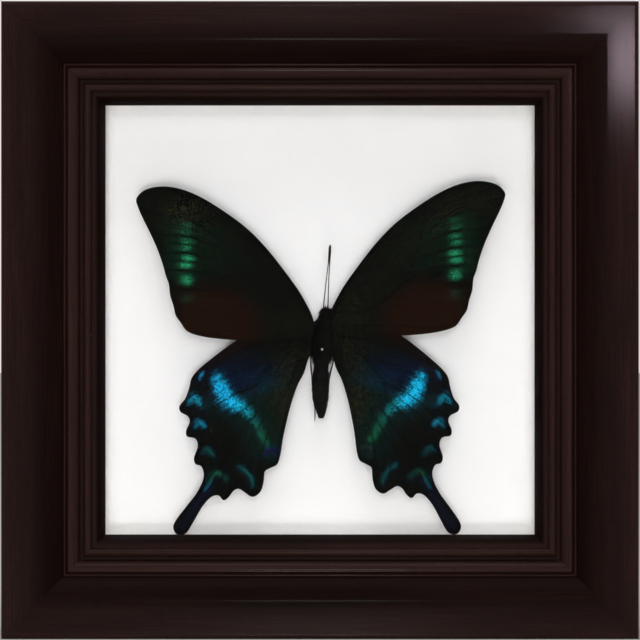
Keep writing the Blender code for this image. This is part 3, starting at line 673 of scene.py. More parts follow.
def rail_mesh(settings, number):
    """The section carried along X about the frame's centre and cut at 45 degrees: the point at an
    inset ends where the rail meets its neighbour. The UV map runs in metres along the rail and
    round the section, shifted for each rail so that no two show the same grain."""
    columns_along = 24
    section = moulding_section(settings.arris / MM)
    ends = HALF_SIDE - section[:, 0] - settings.seam / MM
    share = np.linspace(-1.0, 1.0, columns_along)[:, None]
    points = place(share * ends, section[:, 1], section[:, 0] - HALF_SIDE) - (0.0, FRONT_Y, 0.0)
    rows, columns = points.shape[:2]
    quads = grid_quads(rows, columns, wrap=True)
    around = np.concatenate((section, section[:1]))
    developed = np.concatenate(([0.0], np.cumsum(np.linalg.norm(np.diff(around, axis=0), axis=1)))) * MM
    column = np.tile(np.arange(columns), rows - 1)
    run = points.reshape(-1, 3)[quads, 0] + 0.41 * number
    near, far = developed[column], developed[column + 1]
    across = np.stack((near, far, far, near), axis=1)
    uv = np.stack((run, across + 0.13 * number), axis=2).reshape(-1, 2)
    cap_uv = section * MM
    uv = np.concatenate((uv, cap_uv, cap_uv))
    caps = [list(range(columns)), list(range((rows - 1) * columns, rows * columns))]
    inset = section[:, 0]
    front = section[:, 1] < 12.0
    # Painted highlight on the arrises and bead tops, and painted shade on the roll and in the hollows, as
    # numbers at each point.
    ridge_rub_and_highlight = np.interp(inset, RIDGE_HIGHLIGHT_INSETS, RIDGE_WEAR_AND_HIGHLIGHT) * front
    glaze_and_shade = np.interp(inset, SHADE_GLAZE_INSETS, SHADE_GLAZE_DEPTH) * front
    values = {"ridge_rub_and_highlight": np.tile(ridge_rub_and_highlight, rows), "glaze_and_shade": np.tile(glaze_and_shade, rows)}
    mesh = mesh_from("rail", points, quads.tolist() + caps, uv, values, sharp=32.0)
    middle = (around[:-1] + around[1:]) / 2
    bare = ((middle[:, 0] > 25.0) & (middle[:, 1] > 10.4)) | (middle[:, 1] > FRAME_DEPTH - 0.05)
    finish = np.concatenate((bare[column], (False, False))).astype(np.int32)
    mesh.polygons.foreach_set("material_index", finish)
    return mesh


def boxes_mesh(name, boxes, material_index=0):
    """One mesh of plain boxes, each given by its two corners in metres."""
    unit = np.array([(x, y, z) for x in (0, 1) for y in (0, 1) for z in (0, 1)], float)
    sides = np.array(((0, 1, 3, 2), (4, 6, 7, 5), (0, 4, 5, 1), (2, 3, 7, 6), (0, 2, 6, 4), (1, 5, 7, 3)))
    low, high = (np.array([box[k] for box in boxes], float)[:, None] for k in (0, 1))
    points = low + unit * (high - low)
    faces = (sides[None] + 8 * np.arange(len(boxes))[:, None, None]).reshape(-1, 4)
    mesh = mesh_from(name, points, faces.tolist(), sharp=20.0)
    mesh.polygons.foreach_set("material_index", np.full(len(faces), material_index, np.int32))
    return mesh


def slot_boxes():
    """The saw cuts and punched slots that the bottom rail's tabs and nails sit in, about the
    frame's centre: each is a node's own box with a little room round it."""
    room = 0.08 * MM
    shift = Vector((0.0, FRONT_Y, HALF_SIDE * MM))
    boxes = []
    for node in ("flexi_point_bottom_1", "flexi_point_bottom_2"):
        low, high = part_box(node)
        boxes.append((np.array(low - shift) - room, np.array(high - shift) + room))
    for node, side in (("v_nail_bottom_left", -1), ("v_nail_bottom_right", 1)):
        low, high = (np.array(corner - shift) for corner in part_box(node))
        foot_high = high.copy()
        foot_high[2] = low[2] + 0.5 * MM
        foot_high[1] += 2.0 * MM
        boxes.append((low - room, foot_high + room))
    return boxes


class SPECIMEN_OT_moulding(bpy.types.Operator):
    """Make the four mitred rails of the frame"""

    bl_idname = "specimen.moulding"
    bl_label = "Frame rails"

    def execute(self, context):
        settings = context.scene.specimen_frame
        finishes = [stained_wood(settings), raw_wood_back(settings)]
        cutter = bpy.data.objects.new("rail_slots", boxes_mesh("rail_slots", slot_boxes(), 1))
        context.scene.collection.objects.link(cutter)
        for finish in finishes:
            cutter.data.materials.append(finish)
        for number, side in enumerate(("bottom", "left", "top", "right")):
            blank = bpy.data.objects.new("rail_blank", rail_mesh(settings, number))
            context.scene.collection.objects.link(blank)
            for finish in finishes:
                blank.data.materials.append(finish)
            cut = blank.modifiers.new("slots", "BOOLEAN")
            cut.operation = "DIFFERENCE"
            cut.solver = "EXACT"
            cut.object = cutter
            graph = context.evaluated_depsgraph_get()
            mesh = bpy.data.meshes.new_from_object(blank.evaluated_get(graph))
            bpy.data.objects.remove(blank, do_unlink=True)
            turn = Matrix.Rotation(number * math.pi / 2, 4, "Y")
            mesh.transform(Matrix.Translation((0.0, FRONT_Y, HALF_SIDE * MM)) @ turn)
            add_piece("moulding_" + side, mesh, [], ["rail_" + side])
        bpy.data.objects.remove(cutter, do_unlink=True)
        return {"FINISHED"}


class SPECIMEN_OT_fixings(bpy.types.Operator):
    """Finish the corner nails and the bendable tabs"""

    bl_idname = "specimen.fixings"
    bl_label = "Nails and tabs"

    def execute(self, context):
        steel = plated_steel("zinc_plated_steel", context.scene.specimen_frame.zinc, 0.12, 0.36)
        for node in sorted(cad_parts):
            if node.startswith(("v_nail", "flexi_point")):
                softened_copy("steel_" + node, node, steel, 0.06)
        return {"FINISHED"}


class SPECIMEN_OT_hanger(bpy.types.Operator):
    """Finish the sawtooth hanger and turn its two rivets"""

    bl_idname = "specimen.hanger"
    bl_label = "Sawtooth hanger"

    def execute(self, context):
        plate = plated_steel("nickel_plated_steel", context.scene.specimen_frame.brass_plate, 0.2, 0.3)
        softened_copy("stamped_hanger", "sawtooth_hanger", plate, 0.1, 3)
        for side in ("left", "right"):
            node = "hanger_rivet_" + side
            low, high = box_mm(node)
            centre = ((low + high) / 2)[[0, 2]]
            head = (high[0] - low[0]) / 2
            shank = head / 2
            brim = high[1] - 0.9
            dome = arc((0.0, brim + 0.15), (head, high[1] - brim - 0.15), 0, 90, 12)
            profile = [(0.0, low[1]), (shank - 0.15, low[1]), (shank, low[1] + 0.15), (shank, brim),
                       (head - 0.12, brim), (head, brim + 0.06), *dome]
            mesh = turned("rivet", profile, centre, 48)
            add_piece("domed_rivet_" + side, mesh, [plate], [node])
        return {"FINISHED"}


class SPECIMEN_OT_boards(bpy.types.Operator):
    """Finish the glass, the card spacers, the mount board and the backboard"""

    bl_idname = "specimen.boards"
    bl_label = "Glass and boards"

    def execute(self, context):
        settings = context.scene.specimen_frame
        repaint("glass_pane", float_glass())
        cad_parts["glass_pane"].visible_shadow = False
        repaint("mount_board", paper_card("white_mount_board", settings.board, 0.3))
        card = paper_card("white_spacer_card", settings.card, 0.45)
        for side in ("bottom", "top", "left", "right"):
            repaint("spacer_" + side, card)
        repaint("backboard", hardboard(settings))
        return {"FINISHED"}


# The wings. Places are in millimetres from the wing's hinge, outwards and upwards, for the right wing.


FOREWING = {
    "outline": (
        (-1.3, -2.6), (-0.4, 0.8), (0.9, 3.6), (3.4, 8.0), (7.4, 13.6), (12.6, 20.2), (18.0, 25.7),
        (24.2, 30.4), (30.6, 34.4), (36.2, 36.8), (41.6, 37.7), (46.6, 36.8), (49.2, 34.4), (48.9, 32.0),
        (47.5, 28.7), (45.4, 24.4), (43.3, 19.6), (41.8, 15.2), (41.1, 12.4), (40.2, 9.9), (39.9, 6.8),
        (38.9, 3.6), (38.4, 1.2), (36.9, -1.0), (35.0, -3.5), (31.0, -4.9), (25.4, -5.7), (19.0, -6.1),
        (9.0, -6.2), (0.9, -5.4), (-1.3, -4.8)),
    "middle": (24.0, 12.0),
    "turn": 0.27,
    "root_depth": 16.7,
    "tip_lift": 2.3,
    "reach": 60.0,
    "veins": (
        ((2.0, 5.0), (10.0, 15.5), (20.0, 27.2)),
        ((15.0, 19.5), (24.0, 28.0), (33.0, 35.5)),
        ((19.0, 22.0), (28.0, 30.0), (41.0, 37.7)),
        ((24.0, 24.3), (34.0, 31.5), (47.0, 36.6)),
        ((30.0, 26.5), (38.0, 31.0), (49.1, 33.2)),
        ((26.5, 23.0), (35.0, 28.5), (48.1, 30.2)),
        ((25.5, 20.0), (35.0, 23.6), (45.4, 24.4)),
        ((24.0, 16.0), (35.0, 18.8), (43.1, 19.1)),
        ((22.5, 12.0), (35.0, 13.8), (41.4, 13.9)),
        ((19.0, 8.0), (35.0, 8.6), (40.0, 8.2)),
        ((13.0, 3.2), (35.0, 3.0), (38.7, 2.7)),
        ((2.0, -3.0), (18.0, -3.0), (34.5, -3.7)),
        ((0.0, 0.0), (2.0, 2.5), (12.0, 14.5), (22.0, 22.0), (26.0, 23.5)),
        ((0.0, -1.5), (2.0, -1.0), (12.0, 2.0), (20.0, 8.5), (22.5, 12.0)),
        ((26.0, 23.5), (24.5, 18.0), (22.5, 12.0))),
    "first_space": 4,
    "last_space": 11,
}

HINDWING = {
    "outline": (
        (-1.3, -0.6), (0.9, 1.0), (8.0, 3.0), (15.0, 2.0), (20.5, -1.1), (24.4, -3.9), (28.4, -7.1),
        (31.7, -10.0), (33.5, -12.4), (34.1, -15.0), (35.2, -18.2), (36.8, -20.4), (36.4, -22.1),
        (34.5, -23.1), (33.8, -24.8), (34.8, -27.4), (34.4, -29.0), (32.1, -29.6), (31.4, -31.8),
        (32.4, -35.0), (31.9, -36.8), (30.3, -37.4), (29.5, -40.0), (30.6, -43.4), (33.5, -48.0),
        (36.4, -51.6), (37.9, -54.4), (37.3, -56.4), (35.8, -57.0), (34.0, -56.2), (32.0, -52.8),
        (29.6, -48.6), (27.2, -46.0), (25.2, -45.6), (23.8, -46.9), (22.3, -46.0), (21.0, -44.2),
        (19.5, -43.6), (17.9, -44.5), (15.6, -45.8), (13.4, -44.4), (12.5, -41.6), (12.2, -38.6),
        (10.6, -37.5), (8.7, -36.4), (7.8, -33.4), (7.2, -29.0), (6.2, -24.0), (5.0, -19.0),
        (3.4, -14.0), (1.6, -10.4), (0.4, -6.4), (-1.3, -3.6)),
    "middle": (20.0, -30.0),
    "turn": -1.03,
    "root_depth": 17.5,
    "tip_lift": 1.7,
    "reach": 66.0,
    "veins": (
        ((2.0, -1.0), (14.0, -2.5), (26.0, -7.5), (33.5, -12.4)),
        ((8.0, -5.5), (18.0, -9.5), (30.0, -15.0), (36.8, -20.4)),
        ((15.0, -14.0), (24.0, -18.5), (34.8, -27.4)),
        ((15.5, -18.5), (24.0, -25.5), (32.4, -35.0)),
        ((14.0, -21.0), (22.0, -31.5), (29.0, -42.5), (37.0, -55.5)),
        ((11.5, -21.5), (17.5, -32.0), (23.8, -46.9)),
        ((7.5, -17.0), (12.0, -29.0), (15.6, -45.8)),
        ((3.0, -8.0), (7.0, -22.0), (8.9, -36.0)),
        ((1.5, -2.0), (8.0, -5.5), (15.0, -14.0), (15.5, -18.5), (11.5, -21.5), (7.5, -17.0), (2.0, -5.0))),
    "first_space": 1,
    "last_space": 7,
}

# The forewing's green scales where they glint: a painted highlight of bright green at a fixed place. Height
# of each pair's middle, its strength and its spread
GLINT_HIGHLIGHT_WIDTH = 35.1
GLINT_HIGHLIGHTS = ((25.6, 0.15, 0.95), (21.1, 0.42, 0.9), (16.3, 0.95, 1.0), (11.1, 0.85, 0.0), (5.8, 0.07, 0.0))

# The hindwing's band from its bright outer end to the inner margin
BAND = ((26.3, -13.3), (25.2, -15.0), (22.9, -18.3), (19.2, -20.4), (16.8, -22.3), (14.6, -25.5),
        (13.3, -28.2), (12.0, -30.4))

# Hindwing crescents: path, half width, strength and hue, where 0 is green, 0.6 azure and 1 violet
CRESCENTS = (
    (((30.2, -10.2), (31.3, -12.8)), 0.6, 0.5, 0.7),
    (((30.9, -19.9), (32.6, -17.6), (34.2, -19.0)), 0.95, 0.72, 0.56),
    (((29.6, -26.0), (31.2, -24.6), (32.3, -25.9)), 0.8, 0.66, 0.58),
    (((26.9, -34.4), (28.6, -32.3), (30.0, -33.2)), 0.75, 0.3, 0.44),
    (((23.2, -40.8), (24.8, -39.6), (26.4, -39.1), (27.6, -40.8), (28.8, -43.4)), 0.75, 0.4, 0.24),
    (((19.6, -37.3), (18.0, -38.3), (16.2, -40.2), (15.3, -42.6)), 0.72, 0.42, 0.42))
ANAL_CRESCENT = ((7.9, -33.9), (9.4, -32.5), (11.2, -32.4), (12.1, -33.6))


def vein_lines(wing):
    """The wing's veins as fine curves, and the folds that run midway between those at the margin."""
    veins = [smooth_path(corners, 24) for corners in wing["veins"]]
    spaces = range(wing["first_space"], wing["last_space"])
    folds = [((veins[k] + veins[k + 1]) / 2)[6:] for k in spaces]
    return veins, folds


def strength_along(points, path, width, ragged=0.0):
    """How strongly a mark shows: 1 on its path, falling off as a bell curve of the given width."""
    distance, along = trace(points, smooth_path(path, 24))
    return np.exp(-(distance / (width * (1.0 + ragged))) ** 2), along


def streaks(points, seed, count=26):
    """Fine rays of lighter and darker scales that fan out from the hinge: a sum of waves of the
    angle about the hinge, each drifting a little with the distance from it."""
    draw = np.random.default_rng(seed)
    angle = np.arctan2(points[:, 1], points[:, 0])
    reach = np.linalg.norm(points, axis=1)
    total = np.zeros(len(points))
    for beat in draw.uniform(40.0, 260.0, count):
        total += np.sin(beat * angle + draw.uniform(0.0, math.tau) + reach * draw.uniform(-0.25, 0.25))
    return total / math.sqrt(count / 2)


def forewing_marks(points, side):
    """Numbers for the forewing's scales: gleam of the green scales, whose bright pairs are painted
    glint highlights, their hue, the brown flush and the pale dust, worked out from the distance to each mark."""
    across, up = points.T
    ray = streaks(points, 3)
    gleam = np.zeros(len(points))
    # Painted highlight: each pair is the glint of the green scales painted into their colour.
    for height, strength, split in GLINT_HIGHLIGHTS:
        for step in (-split, split) if split else (0.0,):
            lean = 0.06 * (across - GLINT_HIGHLIGHT_WIDTH)
            long = np.exp(-((across - GLINT_HIGHLIGHT_WIDTH + 0.25 * step) / 1.45) ** 2)
            tall = np.exp(-((up - height - step - lean) / (0.72 if split else 1.15)) ** 2)
            gleam = np.maximum(gleam, 1.2 * strength * long * tall)
    haze = np.exp(-((across - 37.0) / 4.0) ** 2) * ease(9.0, 13.0, up) * (1.0 - ease(25.0, 31.0, up))
    inward = np.exp(-((across - 29.0) / 7.0) ** 2) * ease(11.0, 15.0, up) * (1.0 - ease(24.0, 29.0, up))
    gleam = gleam + 0.05 * haze + 0.018 * inward * (1.0 + 0.4 * ray)
    ceiling = np.minimum(4.0 + 0.63 * (across - 15.6), 8.7)
    brown = (ease(11.5, 18.5, across) * (1.0 - ease(-4.5, 3.5, up - ceiling))
             * (1.0 - 0.55 * ease(35.5, 38.5, across + 0.25 * up)))
    costal = trace(points, smooth_path(FOREWING["outline"][1:11], 60))[0]
    dust = 0.1 + 0.2 * np.exp(-((costal - 6.0) / 5.0) ** 2) * (1.0 + 0.5 * side)
    dust = dust + 0.22 * np.exp(-((across - 8.0) / 7.0) ** 2 - ((up + 1.0) / 5.0) ** 2)
    apex = np.exp(-((across - 36.0) / 7.0) ** 2 - ((up - 30.0) / 5.0) ** 2)
    dust = dust * 0.35 + (0.22 if side < 0 else 0.05) * apex
    return {"gleam": gleam, "hue": np.full(len(points), 0.12), "brown": brown, "dust": dust}


def hindwing_marks(points, side):
    """Numbers for the hindwing's scales: a band whose hue runs from azure at its outer end to green,
    a wash of deep blue inside it, a crescent in each space at the margin, and an eye at the inner
    corner that is violet on the left and grey on the right."""
    across, up = points.T
    ray = streaks(points, 11)
    distance, along = trace(points, smooth_path(BAND, 60))
    width = 1.75 - 0.45 * ease(0.2, 0.6, along) - 0.2 * ease(0.6, 1.0, along)
    bright = 1.35 - 0.98 * ease(0.12, 0.72, along)
    reach = np.hypot(distance, 0.7 * np.clip(across - (24.8 if side > 0 else 25.7), 0.0, None) ** 1.2)
    band = bright * np.exp(-(reach / (width * (1.0 + 0.1 * ray))) ** 2)
    band_hue = (0.67 if side < 0 else 0.62) - 0.16 * ease(0.25, 0.55, along) - 0.24 * ease(0.5, 0.95, along)
    marks = [(band, band_hue)]
    wash = 0.08 * np.exp(-((across - 20.0) / 8.5) ** 2 - ((up + 11.5) / 4.6) ** 2) * (1.0 + 0.2 * ray)
    marks.append((wash, np.full(len(points), 0.86)))
    inner = 0.012 * np.exp(-((across - 12.5) / 5.5) ** 2 - ((up + 20.5) / 9.0) ** 2) * (1.0 + 0.5 * ray)
    marks.append((inner, np.full(len(points), 0.05)))
    anal = strength_along(points, ANAL_CRESCENT, 0.5)[0]
    beyond = 0.03 * np.exp(-((distance - 3.5) / 2.5) ** 2) * ease(-16.0, -20.0, up) * (1.0 - anal)
    marks.append((beyond, np.full(len(points), 0.45)))
    for path, wide, strength, hue in CRESCENTS:
        shape, share = strength_along(points, path, 0.72 * wide, 0.15 * ray)
        shape = shape * (0.45 + 0.55 * np.sin(math.pi * share))
        glow = strength_along(points, path, 2.1 * wide)[0]
        marks.append(((0.78 if side < 0 else 0.62) * strength * shape, hue - 0.06 * np.sin(math.pi * share)))
        marks.append((0.035 * strength * glow, np.full(len(points), 0.82)))
    marks.append((anal * (0.3 if side < 0 else 0.02), np.full(len(points), 1.0)))
    tail = trace(points, smooth_path(((27.5, -42.0), (31.5, -48.5), (35.5, -54.5)), 20))[0]
    marks.append((0.06 * np.exp(-(tail / 1.3) ** 2), np.full(len(points), 0.93)))
    gleam = sum(strength for strength, _ in marks)
    hue = sum(strength * shade for strength, shade in marks) / np.maximum(gleam, 1e-4)
    costal = trace(points, smooth_path(HINDWING["outline"][2:8], 40))[0]
    brown = 0.5 * np.exp(-(costal / 3.0) ** 2) * ease(8.0, 14.0, across)
    dust = 0.03 + 0.12 * np.exp(-((across - 5.0) / 6.0) ** 2 - ((up + 6.0) / 8.0) ** 2)
    dust = dust + 0.25 * np.exp(-((across - 7.5) / 3.0) ** 2 - ((up + 19.0) / 9.0) ** 2)
    if side > 0:
        dust = dust + 0.4 * anal
    return {"gleam": gleam, "hue": np.clip(hue, 0.0, 1.0), "brown": brown, "dust": dust}


def wing_mesh(name, wing, side, marks, thickness):
    """A thin closed blade. One parameter runs round the outline and the other from the middle of
    the upper side out to the rim and back under to the middle of the underside. The blade rises
    from its root towards the tip with a power of the distance from the hinge, and the veins stand
    up from it while the folds between them sink."""
    around, over, under = 520, 112, 9
    rim = smooth_path(wing["outline"], around, closed=True)
    middle = np.array(wing["middle"])
    out = np.concatenate((np.arange(1, over + 1) / over, np.arange(under, 0, -1) / under))
    flat = (middle + out[:, None, None] * (rim - middle)).reshape(-1, 2)
    flat = np.concatenate((flat, middle[None], middle[None]))
    upper = np.concatenate((np.repeat(np.arange(over + under) < over, around), (True, False)))
    veins, folds = vein_lines(wing)
    to_vein = np.min([trace(flat, line)[0] for line in veins], axis=0)
    to_fold = np.min([trace(flat, line)[0] for line in folds], axis=0)
    edge = trace(flat, np.concatenate((rim[::4], rim[:1])))[0]
    values = marks(flat, side)
    vein = np.exp(-(to_vein / 0.3) ** 2)
    fold = np.exp(-(to_fold / 0.24) ** 2)
    margin = 1.0 - ease(0.5, 1.7, edge)
    values["vein"] = np.clip(vein + 0.6 * fold + 0.5 * margin, 0.0, 1.0)
    values["gleam"] = values["gleam"] * (1.0 - 0.6 * vein) * (1.0 - 0.3 * fold)
    share = np.linalg.norm(flat, axis=1) / wing["reach"]
    swell = 0.16 * np.sin(flat[:, 0] * 0.16 + 0.8) * np.cos(flat[:, 1] * 0.13 - 0.4 * side)
    depth = wing["root_depth"] - wing["tip_lift"] * share ** 0.8 + swell * np.clip(share * 2, 0.0, 1.0)
    relief = (0.06 * vein - 0.03 * fold) * ease(0.0, 0.6, edge)
    depth = depth - relief * upper + thickness / MM * ~upper
    angle = math.radians(side * wing["turn"])
    turned_x = flat[:, 0] * math.cos(angle) - flat[:, 1] * math.sin(angle)
    turned_z = flat[:, 0] * math.sin(angle) + flat[:, 1] * math.cos(angle)
    low, high = box_mm(name)
    # The wing is set by its node's box: its outer end across, and its middle in height.
    across = side * turned_x
    across += high[0] - across.max() if side > 0 else low[0] - across.min()
    height = turned_z + (low[2] + high[2] - turned_z.min() - turned_z.max()) / 2
    points = place(across, depth, height)
    rings = points[:-2].reshape(over + under, around, 3)
    return closed_skin(name, rings, points[-2], points[-1], values, sharp=60.0)


class SPECIMEN_OT_wings(bpy.types.Operator):
    """Make the two pairs of wings"""

    bl_idname = "specimen.wings"
    bl_label = "Wings"

    def execute(self, context):
        settings = context.scene.specimen_insect
        scales = wing_scales(settings)
        pairs = (("forewing", FOREWING, forewing_marks), ("hindwing", HINDWING, hindwing_marks))
        for wing_name, wing, marks in pairs:
            for side, side_name in ((-1, "left"), (1, "right")):
                node = wing_name + "_" + side_name
                mesh = wing_mesh(node, wing, side, marks, settings.blade)
                add_piece("scaled_" + node, mesh, [scales], [node])
        return {"FINISHED"}


# The body


# Sections from the head down: sideways offset from the pin, height, radius
BODY_SECTIONS = (
    (1.35, 92.3, 0.5), (1.3, 91.9, 1.1), (1.2, 91.1, 1.6), (1.05, 90.1, 1.5), (0.9, 89.4, 1.35),
    (0.7, 88.4, 1.95), (0.6, 87.0, 2.5), (0.45, 84.5, 2.8), (0.35, 82.0, 2.85), (0.2, 79.5, 2.6),
    (-0.05, 77.3, 2.05), (-0.25, 76.0, 1.9), (-0.4, 73.5, 2.25), (-0.5, 70.0, 2.38), (-0.45, 67.0, 2.2),
    (-0.4, 64.5, 1.75), (-0.3, 62.5, 1.1), (-0.3, 60.9, 0.4))
WAIST = 77.0
SEGMENT = 2.25


def body_axis():
    """The body's middle: width of the pin, and depth halfway through the body's node."""
    low, high = box_mm("insect_pin")
    body_low, body_high = box_mm("butterfly_body")
    return (low[0] + high[0]) / 2, (body_low[1] + body_high[1]) / 2


def body_skin(share, angle):
    """A point of the skin, from the share of the way down the body and the angle about its axis,
    0 being the right and a quarter turn the back towards the glass. The radius follows the
    sections, is 5 % less front to back, and narrows a little at each ring of the abdomen. The
    thorax is broader than it is deep by a further 5 % times the cosine of twice the angle."""
    pin_x, axis_depth = body_axis()
    curve = smooth_path(BODY_SECTIONS, 240)
    at = np.linspace(0.0, 1.0, len(curve))
    offset, height, radius = (np.interp(share, at, column) for column in curve.T)
    ringed = 1.0 - ease(WAIST - 1.5, WAIST, height)
    phase = (WAIST - height) / SEGMENT
    groove = np.exp(-((phase - np.round(phase)) / 0.12) ** 2)
    radius = radius * (1.0 - 0.07 * groove * ringed)
    keel = 1.0 + 0.05 * np.cos(2 * angle) * (1.0 - ringed)
    return place(pin_x + offset + radius * keel * np.cos(angle),
                 axis_depth - 0.95 * radius * np.sin(angle), height)


def fur_mesh(roots, aims, lengths, radius, lots):
    """Tapered hairs joined in one mesh: each is three rings of three points and a tip along a
    parabola that starts along its aim and droops towards the tail."""
    droop = np.array((0.0, 0.0, -1.0))
    levels = np.array((0.0, 0.4, 0.75))
    side = np.cross(aims, (0.3, 0.9, 0.2))
    side /= np.linalg.norm(side, axis=1)[:, None]
    other = np.cross(aims, side)
    spine = (roots[:, None] + aims[:, None] * (levels[:, None] * lengths[:, None, None])
             + droop * (0.35 * levels[:, None] ** 2 * lengths[:, None, None]))
    tips = roots + aims * lengths[:, None] + droop * 0.35 * lengths[:, None]
    angle = np.arange(3) * math.tau / 3
    ring = side[:, None] * np.cos(angle)[:, None] + other[:, None] * np.sin(angle)[:, None]
    thick = radius * (1.0 - levels ** 1.5)
    rings = spine[:, :, None] + ring[:, None] * thick[:, None, None]
    points = np.concatenate((rings.reshape(len(roots), 9, 3), tips[:, None]), axis=1)
    quads = np.array([(r * 3 + k, r * 3 + (k + 1) % 3, r * 3 + 3 + (k + 1) % 3, r * 3 + 3 + k)
                      for r in range(2) for k in range(3)])
    tris = np.array([(6, 7, 9), (7, 8, 9), (8, 6, 9), (2, 1, 0)])
    start = 10 * np.arange(len(roots))[:, None, None]
    faces = (start + quads).reshape(-1, 4).tolist() + (start + tris).reshape(-1, 3).tolist()
    tip = np.tile(np.array((0.0,) * 3 + (0.4,) * 3 + (0.75,) * 3 + (1.0,)), len(roots))
    return points, faces, {"tip": tip, "lot": np.repeat(lots, 10)}


def body_fur(settings):
    """Hair over the body: roots spread evenly over the skin, aimed along its normal and combed back
    towards the tail, long on the thorax and its sides and short on the abdomen."""
    draw = np.random.default_rng(5)
    count = settings.hairs
    share = draw.uniform(0.01, 0.985, count) ** 1.15
    angle = draw.uniform(0.0, math.tau, count)
    roots = body_skin(share, angle)
    small = 1e-3
    along = body_skin(share + small, angle) - roots
    around = body_skin(share, angle + small) - roots
    normal = np.cross(along, around)
    normal /= np.linalg.norm(normal, axis=1)[:, None]
    outward = np.sign(np.sum(normal * (roots - body_skin(share, angle + math.pi)), axis=1))
    normal *= outward[:, None]
    combed = along / np.linalg.norm(along, axis=1)[:, None]
    height = roots[:, 2] / MM
    thorax = ease(WAIST - 1.0, WAIST + 2.5, height) * (1.0 - ease(88.5, 91.0, height))
    head = ease(88.5, 90.5, height)
    length = (0.45 + 1.15 * thorax + 0.45 * head) * draw.uniform(0.6, 1.3, count)
    lean = 0.35 + 0.5 * thorax + 0.5 * head
    aims = normal * lean[:, None] + combed * 0.75 + draw.normal(0.0, 0.2, (count, 3))
    aims /= np.linalg.norm(aims, axis=1)[:, None]
    return fur_mesh(roots, aims, length * MM, 0.035 * MM, draw.uniform(0.0, 1.0, count))


def ball_mesh(centre, radii, rows=18, columns=28):
    """An ellipsoid as rings of latitude between two poles, all points in metres."""
    lat = np.linspace(-math.pi / 2, math.pi / 2, rows)[1:-1, None]
    lon = np.linspace(0.0, math.tau, columns, endpoint=False)[None]
    unit = np.stack(np.broadcast_arrays(
        np.cos(lat) * np.cos(lon), np.cos(lat) * np.sin(lon), np.sin(lat)), axis=-1)
    rings = centre + unit * radii
    poles = (centre + np.array((0.0, 0.0, end)) * radii for end in (-1.0, 1.0))
    return closed_skin("eye", rings, *poles)


class SPECIMEN_OT_body(bpy.types.Operator):
    """Make the head, thorax and abdomen with their hair, eyes and palps"""

    bl_idname = "specimen.body"
    bl_label = "Body and hair"

    def execute(self, context):
        settings = context.scene.specimen_insect
        cuticle = dry_cuticle("abdomen_cuticle", "#080704", "#110E07", 0.7)
        share = np.linspace(0.004, 0.996, 220)[:, None]
        angle = np.linspace(0.0, math.tau, 56, endpoint=False)[None]
        rings = body_skin(*np.broadcast_arrays(share, angle))
        poles = (rings[k].mean(axis=0) for k in (0, -1))
        add_piece("body_skin", closed_skin("body_skin", rings, *poles), [cuticle],
                  ["butterfly_body"])
        points, faces, values = body_fur(settings)
        fur = mesh_from("body_fur", points, faces, None, values)
        add_piece("body_fur", fur, [black_fur(settings)], [])
        eye = dry_cuticle("eye_facets", "#120C09", "#2B1C14", 0.3)
        pin_x, axis_depth = body_axis()
        for side, side_name in ((-1, "left"), (1, "right")):
            centre = place(pin_x + 1.15 + 1.15 * side, axis_depth - 0.25, 90.95)
            ball = ball_mesh(centre, np.array((0.75, 0.95, 0.85)) * MM)
            add_piece("eye_" + side_name, ball, [eye], [])
            path = place(pin_x + 1.25 + side * np.array((0.3, 0.36, 0.34, 0.26)),
                         axis_depth + np.array((0.1, -0.35, -0.75, -1.0)), (91.7, 92.3, 92.7, 92.95))
            radii = np.array((0.34, 0.36, 0.38, 0.4, 0.4, 0.4, 0.38, 0.36, 0.32, 0.28, 0.24, 0.2, 0.15,
                              0.08)) * MM
            palp = tube("palp", smooth_path(path, len(radii)), radii, 12)
            add_piece("palp_" + side_name, palp, [eye], [])
        return {"FINISHED"}


# Antennae from head to club: sideways offset from the pin, height, radius
ANTENNA_STATIONS = (
    (1.0, 92.2, 0.15), (1.3, 97.0, 0.13), (1.6, 101.0, 0.13), (1.95, 105.0, 0.15), (2.12, 107.2, 0.26),
    (2.22, 109.2, 0.33), (2.28, 110.1, 0.24), (2.3, 110.4, 0.1))

# Legs: name, then joints as (outwards from the body's lean, height)
LEGS = (
    ("fore", ((0.8, 86.4), (2.9, 87.6), (2.2, 89.2), (1.0, 91.0))),
    ("mid", ((0.9, 83.4), (3.4, 84.6), (5.3, 82.0), (5.6, 77.0))),
    ("hind", ((0.9, 80.4), (3.2, 78.6), (2.5, 72.5), (1.9, 66.0))))
LEFT_HIND_TIP = ((1.75, 62.4), (1.85, 60.0))


